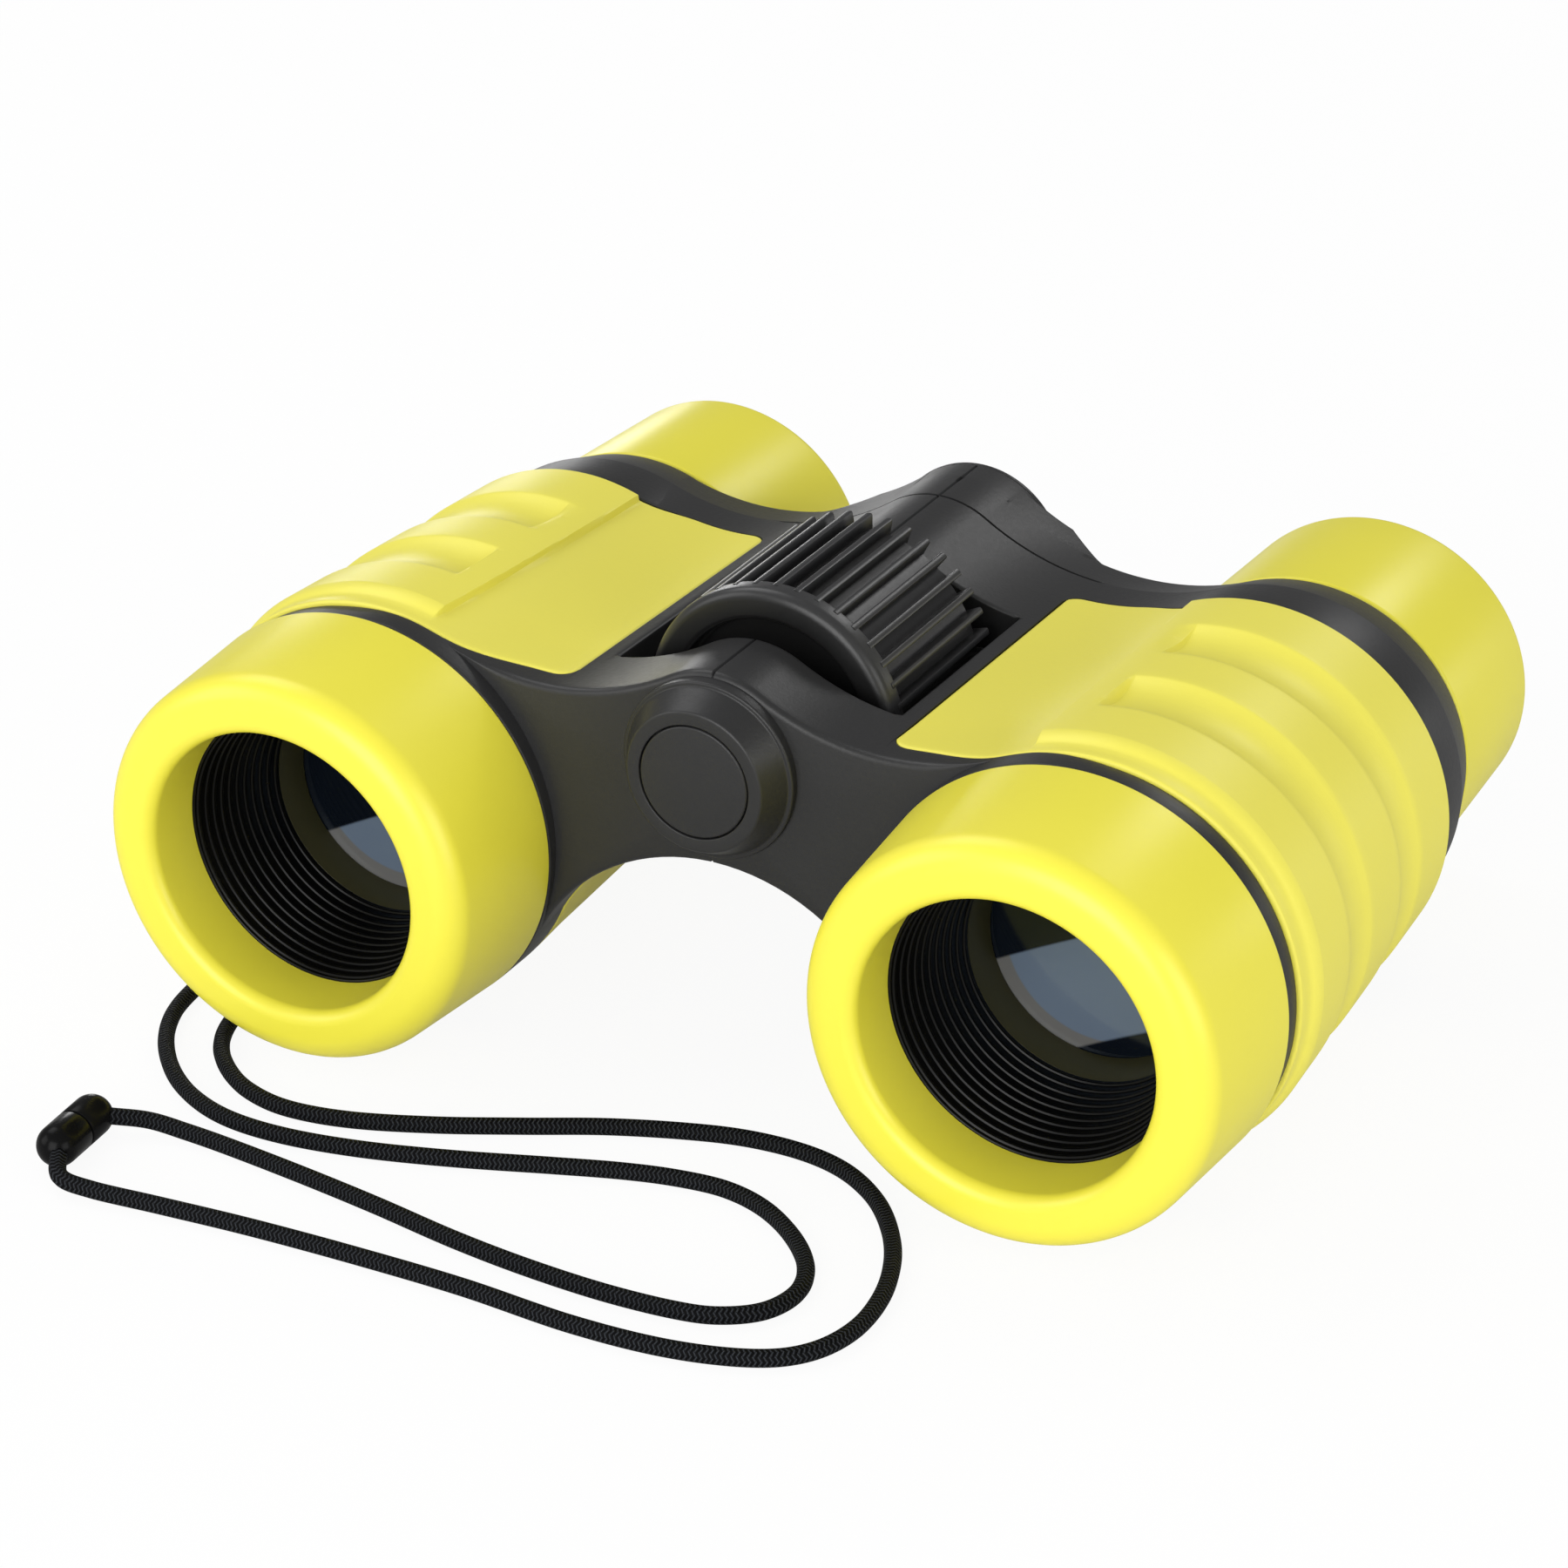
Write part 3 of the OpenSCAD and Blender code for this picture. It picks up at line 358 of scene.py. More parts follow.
def moulded(name, colour, roughness, grain, grain_scale, spread, level, window=False, ribs=()):
    """Injection moulded plastic with spark grain and faint flow marks, with painted shade in a wheel's window
    or between a wheel's ribs where asked.
    """
    finish = Finish(name)
    broad = finish.noise(70.0, 3.0)
    fine = finish.noise(grain_scale, 2.0, 0.6)
    ground = finish.blend(broad * 0.7 + fine * 0.3, shaded(colour, 1 - spread), shaded(colour, 1 + spread))
    rough = fine * 0.10 + broad * 0.06 + (roughness - 0.08)
    if window:
        # Painted shade: the walls of the wheel's window are painted darker than the outside, and they are
        # duller
        start, full = 0.06, 0.02
        across, along = finish.axes("XY")
        inner = finish.step(across.size(), window_x + start, window_x + full)
        inner = inner * finish.step(along, window_front - start, window_front - full)
        inner = inner * finish.step(along, window_rear + start, window_rear + full)
        ground = finish.mix(inner, ground, (*shaded(colour, 0.05), 1))
        rough = rough + inner * 0.5
    if ribs:
        # Painted shade: between a wheel's ribs, from the first radius to the second, the moulding is painted
        # darker
        across, height = finish.axes("XZ")
        height = height - focus_z
        outer = finish.step((across * across + height * height) ** 0.5, *ribs)
        ground = finish.mix(outer, (*shaded(colour, 0.25), 1), ground)
    return finish.set(
        Base_Color=ground, Roughness=rough, Normal=finish.bump(fine, grain, 0.00006),
        Specular_IOR_Level=level)


def lens_finish(name, colour, painted_reflection=None, centre_x=0.0, reflection_top=0.0, reflection_low=0.0):
    """Dark coated glass, with a painted reflection: a slanting pale band between two straight edges."""
    finish = Finish(name)
    cloud = finish.noise(160.0, 2.0)
    ground = finish.blend(cloud, shaded(colour, 0.8), shaded(colour, 1.2))
    # Painted reflection: the pale band and its greyer rim stand in for the bright floor mirrored in the glass
    if painted_reflection:
        slope, soft, rim_r = 0.46, 0.15, (8.2, 8.4)
        across, up = finish.axes("XZ")
        across, up = across - centre_x, up - axis_z
        level = up - across * slope
        below = finish.step(level, reflection_top + soft, reflection_top - soft)
        above = finish.step(level, reflection_low - soft, reflection_low + soft)
        rim = finish.step((across * across + up * up) ** 0.5, *rim_r)
        band = finish.mix(rim, (*painted_reflection, 1), (*shaded((sum(painted_reflection) / 3,) * 3, 0.8), 1))
        ground = finish.mix(below * above, ground, band)
    return finish.set(
        Base_Color=ground, Roughness=cloud * 0.015 + 0.04, Specular_IOR_Level=0.3,
        Specular_Tint=(0.78, 0.9, 1.0, 1))


def turned_metal(name, colour, roughness):
    """Turned metal with fine rings round its axis."""
    finish = Finish(name)
    made = finish.node("ShaderNodeTexWave", {
        "Vector": finish.place(), "Scale": 900.0, "Distortion": 1.5, "Detail": 2.0}, bands_direction="Y")
    lines = finish.take(made, "Fac")
    ground = finish.blend(lines, shaded(colour, 0.9), shaded(colour, 1.05))
    return finish.set(Base_Color=ground, Roughness=lines * 0.12 + roughness, Metallic=1.0)


def braid(name):
    """Black braided cord: two sets of strands that cross, on the cord's own map."""
    strands, crossings = 6, 3.6
    finish = Finish(name)
    made = finish.node("ShaderNodeSeparateXYZ", {"Vector": finish.place("UV")})
    turns, run = finish.take(made, "X") * (2 * pi * strands), finish.take(made, "Y") * (2 * pi * crossings)
    right_lay = ((turns + run).wave() * 0.5 + 0.5) ** 3
    left_lay = ((turns - run).wave() * 0.5 + 0.5) ** 3
    turn_about = finish.step(((turns + run) * 0.5).wave() * ((turns - run) * 0.5).wave(), -0.1, 0.1)
    fuzz = finish.noise(4200.0, 3.0)
    over = (right_lay * turn_about + left_lay * (1 - turn_about)) * (0.45 + fuzz)
    # The strands' pattern is real and also drives the bump; its colour, near-black in the gaps and lighter on
    # the strands on top, is painted shade and painted highlight
    return finish.set(
        Base_Color=finish.blend(over, (0.001, 0.001, 0.0014), (0.042, 0.046, 0.053)),
        Roughness=fuzz * 0.2 + 0.5, Normal=finish.bump(over + fuzz * 0.25, 0.9, 0.00012),
        Specular_IOR_Level=0.08)


finishes = {}


def make_finishes(context):
    """Makes the materials that the pieces share."""
    colours = context.scene.binocular_colours
    black, glass, painted_reflection = tuple(colours.black), tuple(colours.glass), tuple(colours.painted_reflection)
    wheel_r = wheel_high[0]
    finishes["body black"] = moulded(
        # The body's moulding carries painted shade on the walls of the wheel's window
        "Satin black moulding", black, 0.42, 0.25, 2600.0, 0.12, 0.45, window=True)
    # The wheel's moulding carries painted shade between its ribs
    finishes["wheel black"] = moulded(
        "Ribbed black moulding", shaded(black, 1.5), 0.34, 0.12, 2200.0, 0.1, 0.45,
        ribs=(wheel_r - 1.0, wheel_r - 0.1))
    for key, name, colour, roughness, grain, grain_scale, spread, level in (
        ("part black", "Smooth black moulding", shaded(black, 0.6), 0.33, 0.12, 2200.0, 0.1, 0.4),
        ("hood black", "Black ribbed moulding", shaded(black, 0.1), 0.3, 0.08, 1800.0, 0.1, 0.25),
        # Painted shade: the deep black is a darker copy of the black for the lens cells and the focus yoke,
        # which sit in shade inside the barrels and the window
        ("deep black", "Dull black inner moulding", shaded(black, 0.35), 0.6, 0.25, 1800.0, 0.1, 0.3),
        ("gloss black", "Gloss black moulding", shaded(black, 0.25), 0.24, 0.05, 1500.0, 0.1, 0.09),
        ("lemon", "Lemon moulding", tuple(colours.lemon), 0.34, 0.06, 1500.0, 0.03, 0.5),
        ("grip", "Soft yellow grip", tuple(colours.grip), 0.44, 0.16, 2000.0, 0.035, 0.5),
        ("olive", "Dark olive retainer", tuple(colours.olive), 0.4, 0.1, 1800.0, 0.1, 0.5),
    ):
        finishes[key] = moulded(name, colour, roughness, grain, grain_scale, spread, level)
    # Each objective's painted reflection is placed for its own side
    finishes["left lens"] = lens_finish("Left glass with painted reflection", glass, painted_reflection, -half, -2.4, -12.0)
    finishes["right lens"] = lens_finish("Right glass with painted reflection", glass, painted_reflection, half, 1.0, -8.4)
    finishes["eye lens"] = lens_finish("Coated eye glass", glass)
    finishes["brass"] = turned_metal("Turned brass", (0.72, 0.5, 0.2), 0.22)
    finishes["steel"] = turned_metal("Turned steel", (0.55, 0.55, 0.56), 0.24)
    finishes["cord"] = braid("Braided black cord")


# Mesh helpers

def face_outwards(mesh, weld):
    """Turns a mesh's faces outwards, and welds it first where that is asked for."""
    work = bmesh.new()
    work.from_mesh(mesh)
    if weld:
        bmesh.ops.remove_doubles(work, verts=work.verts, dist=0.000001)
        bmesh.ops.dissolve_degenerate(work, edges=work.edges, dist=0.0000002)
    bmesh.ops.recalc_face_normals(work, faces=work.faces)
    work.to_mesh(mesh)
    work.free()


def place_piece(mesh, name, finish, body, node):
    """Makes a mesh a smooth piece with one finish, which rides on its body in place of a CAD node."""
    mesh.materials.append(finishes[finish])
    mesh.shade_smooth()
    piece = bpy.data.objects.new(name, mesh)
    bpy.context.scene.collection.objects.link(piece)
    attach(piece, body)
    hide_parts(node)
    return piece


class Shape:
    """Vertices and faces gathered from several forms, in millimetres."""

    def __init__(self):
        self.points = []
        self.faces = []

    def add(self, points, faces):
        start = sum(len(part) for part in self.points)
        self.points.append(np.asarray(points, float).reshape(-1, 3))
        self.faces += [tuple(start + place for place in face) for face in faces]

    def mirrored(self):
        """The same shape on the other side of the middle plane."""
        other = Shape()
        other.points = [part * np.array([-1, 1, 1]) for part in self.points]
        other.faces = [face[::-1] for face in self.faces]
        return other

    def make(self, name, finish, body, slot, node):
        """Makes the shape a piece, smooth but for its sharp edges."""
        mesh = bpy.data.meshes.new(name)
        mesh.from_pydata((np.concatenate(self.points) * MM).tolist(), [], self.faces)
        face_outwards(mesh, weld=True)
        piece = place_piece(mesh, name, finish, body, node)
        mesh.set_sharp_from_angle(angle=radians(32))
        return piece


def turned_pairs(body, segments, rows):
    """Makes a left and a right piece of each row: outline, name's end, finish, slot and node's end."""
    for side, name in SIDES:
        for outline, piece, finish, slot, node in rows:
            shape = Shape()
            shape.add(*lathe(outline, side * half, axis_z, segments))
            shape.make(name + piece, finish.format(name), body, slot, name + node)


def rounded(corners, steps=7):
    """Closed outline of (radius, y, fillet) corners with arcs where a corner has a fillet."""
    outline = []
    count = len(corners)
    for place, (r, y, fillet) in enumerate(corners):
        here = np.array([r, y], float)
        if fillet <= 0:
            outline.append(here)
            continue
        back = np.array(corners[place - 1][:2], float) - here
        ahead = np.array(corners[(place + 1) % count][:2], float) - here
        back_len, ahead_len = np.linalg.norm(back), np.linalg.norm(ahead)
        back, ahead = back / back_len, ahead / ahead_len
        opening = acos(max(-1.0, min(1.0, float(back @ ahead))))
        reach = min(fillet / tan(opening / 2), 0.499 * back_len, 0.499 * ahead_len)
        radius = reach * tan(opening / 2)
        middle = (back + ahead) / np.linalg.norm(back + ahead)
        centre = here + middle * radius / sin(opening / 2)
        first, last = here + back * reach - centre, here + ahead * reach - centre
        sweep = acos(max(-1.0, min(1.0, float(first @ last) / radius ** 2)))
        for step in range(steps + 1):
            share = step / steps
            arm = first * sin((1 - share) * sweep) + last * sin(share * sweep)
            outline.append(centre + arm / sin(sweep))
    return outline


def lathe(outline, centre_x, centre_z, segments=160, angles=None):
    """Turns a closed outline of (radius, y) about an axis along Y, whole or through the angles given.
    outline may be a function of the angle."""
    rings = []
    for angle in angles or [2 * pi * turn / segments for turn in range(segments)]:
        line = np.asarray(outline(angle) if callable(outline) else outline, float)
        rings.append(np.stack([
            centre_x + line[:, 0] * cos(angle), line[:, 1], centre_z + line[:, 0] * sin(angle)], 1))
    return loft(rings, angles is None)


def loft(rings, whole=False, caps=True):
    """Joins closed rings of equal length, in a loop or with flat ends."""
    size = len(rings[0])
    count = len(rings)
    faces = []
    for ring in range(count if whole else count - 1):
        here, there = ring * size, (ring + 1) % count * size
        for place in range(size):
            after = (place + 1) % size
            faces.append((here + place, here + after, there + after, there + place))
    if caps and not whole:
        faces.append(tuple(range(size)))
        faces.append(tuple(range((count - 1) * size, count * size))[::-1])
    return np.concatenate(rings), faces


def ease(low, high, value):
    """Smooth step from 0 at low to 1 at high."""
    share = np.clip((np.asarray(value, float) - low) / (high - low), 0, 1)
    return share * share * (3 - 2 * share)


def graded(marks, step, near=()):
    """Sorted places between the first and the last mark, with even steps and fine ones at near."""
    places = set()
    for low, high in zip(marks, marks[1:]):
        count = max(1, int(round((high - low) / step)))
        places.update(round(low + (high - low) * share / count, 5) for share in range(count + 1))
    for mark, offsets in near:
        places.update(round(mark + offset, 5) for offset in offsets)
    return [place for place in sorted(places) if marks[0] - 0.00001 <= place <= marks[-1] + 0.00001]


# The bridge's section

def barrel_r(y):
    """Outer radius of a barrel along its length."""
    return np.interp(
        y, [grip_front_y, grip_rear_y, crease_y, tail_y], [front_r, grip_end_r, crease_r, rear_r])


class Section:
    """Section across the bridge where the barrel has radius r: hump, hollow, barrel and arch touch."""

    def __init__(self, r):
        self.r = r
        hump = np.array([0.0, rise])
        barrel = np.array([half, 0.0])
        line = barrel - hump
        span = np.linalg.norm(line)
        near, far = hump_r + valley_r, r + valley_r
        along = (near ** 2 - far ** 2 + span ** 2) / (2 * span)
        lift = sqrt(near ** 2 - along ** 2)
        way = line / span
        self.hollow = hump + along * way + lift * np.array([-way[1], way[0]])
        arch_share = float(ease(arch_front_r, arch_rear_r, r))
        arch_rise = arch_rise_front + (arch_rise_rear - arch_rise_front) * arch_share
        self.arch_r = (half ** 2 + arch_rise ** 2 - r ** 2) / (2 * (r + arch_rise))
        self.arch = np.array([0.0, arch_rise - self.arch_r])
        self.hump_end = hump + hump_r * (self.hollow - hump) / near
        self.top_end = barrel + r * (self.hollow - barrel) / far
        self.low_end = barrel + r * (self.arch - barrel) / (self.arch_r + r)
        self.top_angle = atan2(self.top_end[1], self.top_end[0] - half)
        self.low_angle = atan2(self.low_end[1], self.low_end[0] - half)

    def on_hump(self, angle):
        out = np.array([cos(angle), sin(angle)])
        return np.array([0, rise]) + hump_r * out, out

    def on_hollow(self, x):
        point = np.array([x, self.hollow[1] - sqrt(valley_r ** 2 - (x - self.hollow[0]) ** 2)])
        return point, (self.hollow - point) / valley_r

    def on_arch(self, x):
        point = np.array([x, self.arch[1] + sqrt(self.arch_r ** 2 - x ** 2)])
        return point, (self.arch - point) / self.arch_r

    def on_barrel(self, angle, depth=0.0):
        out = np.array([cos(angle), sin(angle)])
        return np.array([half, 0]) + (self.r - depth) * out, out

    def spot(self, run, how, value):
        """Point and outward normal of a column, which stands at an x or at a share of its run."""
        if run == "hump":
            end = atan2(self.hump_end[1] - rise, self.hump_end[0])
            return self.on_hump(acos(value / hump_r) if how == "x" else pi / 2 + (end - pi / 2) * value)
        if run == "hollow":
            if how == "to window":
                return self.on_hollow(self.hump_end[0] + (window_stop - self.hump_end[0]) * value)
            start = panel_x + panel_corner
            return self.on_hollow(value if how == "x" else start + (self.top_end[0] - start) * value)
        if run == "arch":
            return self.on_arch(value if how == "x" else arch_start + (self.low_end[0] - arch_start) * value)
        if run == "inside":
            low = self.low_angle if self.low_angle > 0 else self.low_angle + 2 * pi
            return self.on_barrel(self.top_angle + (low - self.top_angle) * value, barrel_bite)
        out = np.array([cos(value), sin(value)])
        return np.array([0, rise]) + how * out, out


def corner_cut(x, corner):
    """How far the ends of a grip's panel draw back in its round corners."""
    turn = np.clip(panel_x + corner - np.asarray(x, float), 0, corner)
    return corner - np.sqrt(corner ** 2 - turn ** 2)


def panel_front(x, corner=panel_corner):
    """Front edge of a grip's panel, which swings back in the hollow beside the bridge."""
    set_back, swing, swing_x = 0.8, 1.95, (17.0, 26.0)
    return grip_front_y + set_back + swing * (1 - ease(*swing_x, x)) + corner_cut(x, corner)


def panel_rear(x, corner=panel_corner):
    """Rear edge of a grip's panel, which swings back in the hollow too."""
    swing, swing_x = 1.4, (21.0, 26.5)
    return grip_rear_y + swing * (1 - ease(*swing_x, x)) - corner_cut(x, corner)


def bridge_columns(part, bore_r, sizes):
    """Columns of a bridge block in order round its section: run, how it is placed, and where."""
    seam = sizes.seam_width
    edge = panel_x - sizes.panel_gap
    rim = [window_x + offset for offset in (0, 0.03, 0.1, 0.2, 0.35, 0.8)] + [edge]
    beside = [edge + offset for offset in (0.01, 0.03, 0.08, 0.15, 0.25, 0.4, 0.6, 0.8, 1.0, 1.15)]
    crest = [0.0, 0.5 * seam, seam, 1.5 * seam]
    columns = []
    if part != "border":
        columns += [("hump", "x", x) for x in crest]
        columns += [("hump", "share", share) for share in np.linspace(0.1, 1, 14)]
        columns += [("hollow", "to window", share) for share in np.linspace(0.12, 1, 8)]
    columns += [("hollow", "x", x) for x in rim + beside + [edge + 1.4]]
    columns += [("hollow", "share", share) for share in np.linspace(0, 1, 15)]
    columns += [("inside", "share", share) for share in np.linspace(0, 1, 24)[1:-1]]
    columns += [("arch", "share", share) for share in (1.0, 0.5)]
    columns += [("arch", "x", x) for x in (rim + beside)[::-1]]
    if part != "border":
        columns += [("arch", "x", x) for x in np.linspace(window_stop, 2 * seam, 12)]
        columns += [("arch", "x", x) for x in crest[::-1]]
        columns += [("bore", bore_r, angle) for angle in np.linspace(-pi / 2, pi / 2, 24)]
    return columns


def bridge_block(shape, part, rows, bore_r, sizes):
    """Adds a closed block of the bridge. rows gives each ring's place along the block and its edge."""
    # Length of a panel's end walls, gap to the window's rim, and front row of the columns beside the panel
    wall, rim, plain = 0.02, 0.5, 3.2
    # Spans across the bridge where the plate's rounding fades, the tail's begins and the cross groove ends
    plate_x, tail_x, groove_x = (18, 23), (12.4, 13.4), (12, 16)
    plate_fade, tail_round, groove_depth = 0.85, 0.5, 3.0 * sizes.seam_depth
    columns = bridge_columns(part, bore_r, sizes)
    runs = [column[0] for column in columns]
    skin = np.array([run in ("hump", "hollow", "arch") for run in runs])
    top = np.array([run in ("hump", "hollow") for run in runs])
    rings = []
    for start_y, end_y, share, edge, edge_share in rows:
        place = start_y + (end_y - start_y) * share
        section = Section(float(barrel_r(place)))
        spots = np.array([section.spot(*column)[0] for column in columns])
        x = spots[:, 0]
        lean = plate_lean * (spots[:, 1] + plate_foot)
        under = skin & (x > panel_x - 0.5 * sizes.panel_gap)
        front, rear = panel_front(x) - sizes.panel_gap, panel_rear(x) + sizes.panel_gap
        front_stop, rear_stop = np.where(under, front, start_y + plain), np.where(under, rear, grip_rear_y)
        plate_edge = np.where(top, sizes.plate_round * (1 - plate_fade * ease(*plate_x, x)), sizes.arch_round)
        y, inset = np.full(len(x), place), np.zeros(len(x))
        swell, back = 1 - cos(edge_share), 1 - sin(edge_share)
        if edge == "plate":
            radius = plate_edge * skin
            y, inset = y + lean + radius * back, radius * swell
        elif edge in ("window front", "window rear"):
            radius = sizes.window_round * (1 - ease(window_x - 0.2, window_x + 0.1, x)) * skin
            y, inset = y + (radius if edge == "window rear" else -radius) * back, radius * swell
        elif edge == "tail":
            radius = tail_round * skin * ease(*tail_x, x)
            y, inset = y - radius * back, radius * swell
        elif edge == "to panel front":
            start = start_y + lean + plate_edge
            y = start + (front_stop - start) * edge_share
        elif edge == "after panel front":
            y = front_stop + wall + (end_y - rim - front_stop) * edge_share
        elif edge == "to panel rear":
            y = start_y + rim + (rear_stop - wall - start_y - rim) * edge_share
        elif edge == "after panel rear":
            y = rear_stop + (end_y - rear_stop) * edge_share
        elif edge == "seam":
            inset = np.where(top, groove_depth * edge_share * (1 - ease(*groove_x, x)), 0.0)
        if part == "border":
            near = np.clip(sizes.window_round - (x - window_x), 0, sizes.window_round)
            inset += skin * (sizes.window_round - np.sqrt(sizes.window_round ** 2 - near ** 2))
        else:
            inset += skin * sizes.seam_depth * np.clip(1 - x / sizes.seam_width, 0, 1)
        inset += panel_sink * (under & (y > front + wall / 2) & (y < rear - wall / 2))
        ring = []
        for column, along, depth in zip(columns, y, inset):
            point, out = Section(float(barrel_r(along))).spot(*column)
            point = point - depth * out * (column[0] != "bore")
            ring.append((max(point[0], 0), along, axis_z + point[1]))
        rings.append(np.array(ring))
    shape.add(*loft(rings))


def tail_webs(shape):
    """Adds the webs that carry the bridge's flank back to the hump's end, then slant to its rear face."""
    straight_x, slant_x, upper_x, lower_x, wall_r = 9.2, 13.2, 4.4, 2.4, 7.0
    edge, sink, root = 0.5, 0.012, 0.4
    start_y, join_y = tail_y - 1.2, tail_y - edge

    def skin_line(x, y, upper):
        section = Section(float(barrel_r(y)))
        return section.on_hollow(x)[0][1] if upper else section.on_arch(x)[0][1]

    def ring(x, upper_skin, lower_skin):
        end_y = hump_y - (hump_y - tail_y) * min(max((x - straight_x) / (slant_x - straight_x), 0), 1)
        level_y = min(tail_y, end_y - edge)
        inner = sqrt(max(wall_r ** 2 - x ** 2, 0))
        outline = []
        for sign, skin in ((1, upper_skin), (-1, lower_skin)):
            if skin:
                top = [skin_line(x, y, sign > 0) for y in (start_y, join_y, level_y)]
                run = [(start_y, top[0] - sign * root), (join_y, top[1] - sign * sink), (level_y, top[2])]
                run += [(end_y - edge * (1 - sin(angle)), top[2] - sign * edge * (1 - cos(angle)))
                        for angle in np.linspace(0, pi / 2, 6)]
            else:
                run = [(y, rise - sign * inner) for y in np.linspace(start_y, end_y, 9)]
            outline += run if sign > 0 else run[::-1]
        return np.array([(x, y, axis_z + z) for y, z in outline])

    for low_x, high_x, upper_skin, lower_skin in (
        (upper_x, wall_r, True, False), (lower_x, wall_r, False, True), (wall_r, slant_x - 0.05, True, True),
    ):
        marks = [(straight_x, (0.0,))] if low_x < straight_x < high_x else ()
        places = graded([low_x, high_x], 0.45, marks)
        shape.add(*loft([ring(x, upper_skin, lower_skin) for x in places]))


def body_half(sizes):
    """The right half body: a barrel with its bores and half the bridge, as closed forms that meet."""
    shape = Shape()

    def barrel_outline(angle):
        x = max(half + front_r * cos(angle), panel_x + panel_corner)
        front, rear = float(panel_front(x)) - sizes.panel_gap, float(panel_rear(x)) + sizes.panel_gap
        # Away from the bridge the black collar lies a little below the ring and the grip beside it
        turned = abs((angle + pi) % (2 * pi) - pi)
        collar_r = front_r - sizes.collar_sink * (1 - float(ease(radians(80), radians(105), turned)))
        neck_r, neck_y = tube_r + 0.05, tail_y - 5.7
        return rounded([
            (cell_bore_r, collar_y, 0), (collar_r, collar_y, 0.2), (collar_r, front, 0.12),
            (front_r - panel_sink, front, 0), (grip_end_r - panel_sink, rear, 0), (grip_end_r, rear, 0.12),
            (crease_r, crease_y, 1.5), (rear_r, tail_y, 0.5), (neck_r, tail_y, 0.3), (neck_r, neck_y, 0),
            (barrel_bore_r, neck_y, 0), (barrel_bore_r, cell_high[1], 0), (cell_bore_r, cell_high[1], 0)], 4)

    def rows(start_y, end_y, place, edge, shares):
        return [(start_y, end_y, place, edge, share) for share in shares]

    shape.add(*lathe(barrel_outline, half, axis_z, 192))
    quarter = [radians(step) for step in (90, 72, 54, 36, 18, 0)]
    bush_r = (bush_high[0] - bush_low[0]) / 2 + 0.03
    seam_width = sizes.seam_width
    front, rear = (plate_y, window_front), (window_rear, tail_y)
    bridge_block(shape, "front", (
        rows(*front, 0.0, "plate", quarter)
        + rows(*front, 0.3, "to panel front", (0.33, 0.66, 1.0))
        + rows(*front, 0.6, "after panel front", (0.0, 0.33, 0.66, 1.0))
        + rows(*front, 1.0, "window front", quarter[::-1])), bush_r, sizes)
    middle_rows = [(window_front, window_rear, share, "", 0) for share in np.linspace(0, 1, 13)]
    bridge_block(shape, "border", middle_rows, bush_r, sizes)
    length, to_crease = tail_y - window_rear, crease_y - window_rear
    seam_rows = [
        (*rear, (to_crease + offset * seam_width) / length, "seam", depth)
        for offset, depth in ((-1.5, 0), (-1, 0), (-0.85, 1), (0, 1), (0.85, 1), (1, 0), (1.5, 0))]
    end_rows = [
        (*rear, (to_crease + (tail_y - crease_y) * share) / length, "", 0) for share in (0.3, 0.6, 0.85)]
    bridge_block(shape, "rear", (
        rows(*rear, 0.0, "window rear", quarter)
        + rows(*rear, 0.2, "to panel rear", (0.0, 0.4, 0.8, 1.0))
        + rows(window_rear, crease_y - 1.5 * seam_width, 0.5, "after panel rear", (0.0, 0.33, 0.66))
        + seam_rows + end_rows + rows(*rear, 1.0, "tail", quarter[::-1])), bush_r, sizes)
    tail_webs(shape)
    near_seam = [asin(share * seam_width / hump_r) for share in (0, 0.5, 1, 1.5)]

    def tail_outline(angle):
        outer_r = hump_r - sizes.seam_depth * max(0.0, 1 - hump_r * cos(angle) / seam_width)
        return rounded([
            (bush_r, tail_y - 1, 0), (outer_r, tail_y - 1, 0), (outer_r, hump_y, 0.15),
            (bush_r, hump_y, 0)], 3)

    turns = [-pi / 2 + angle for angle in near_seam] + list(np.linspace(-1.5, 1.5, 40))
    turns += [pi / 2 - angle for angle in near_seam[::-1]]
    shape.add(*lathe(tail_outline, 0.0, focus_z, angles=turns))
    return shape


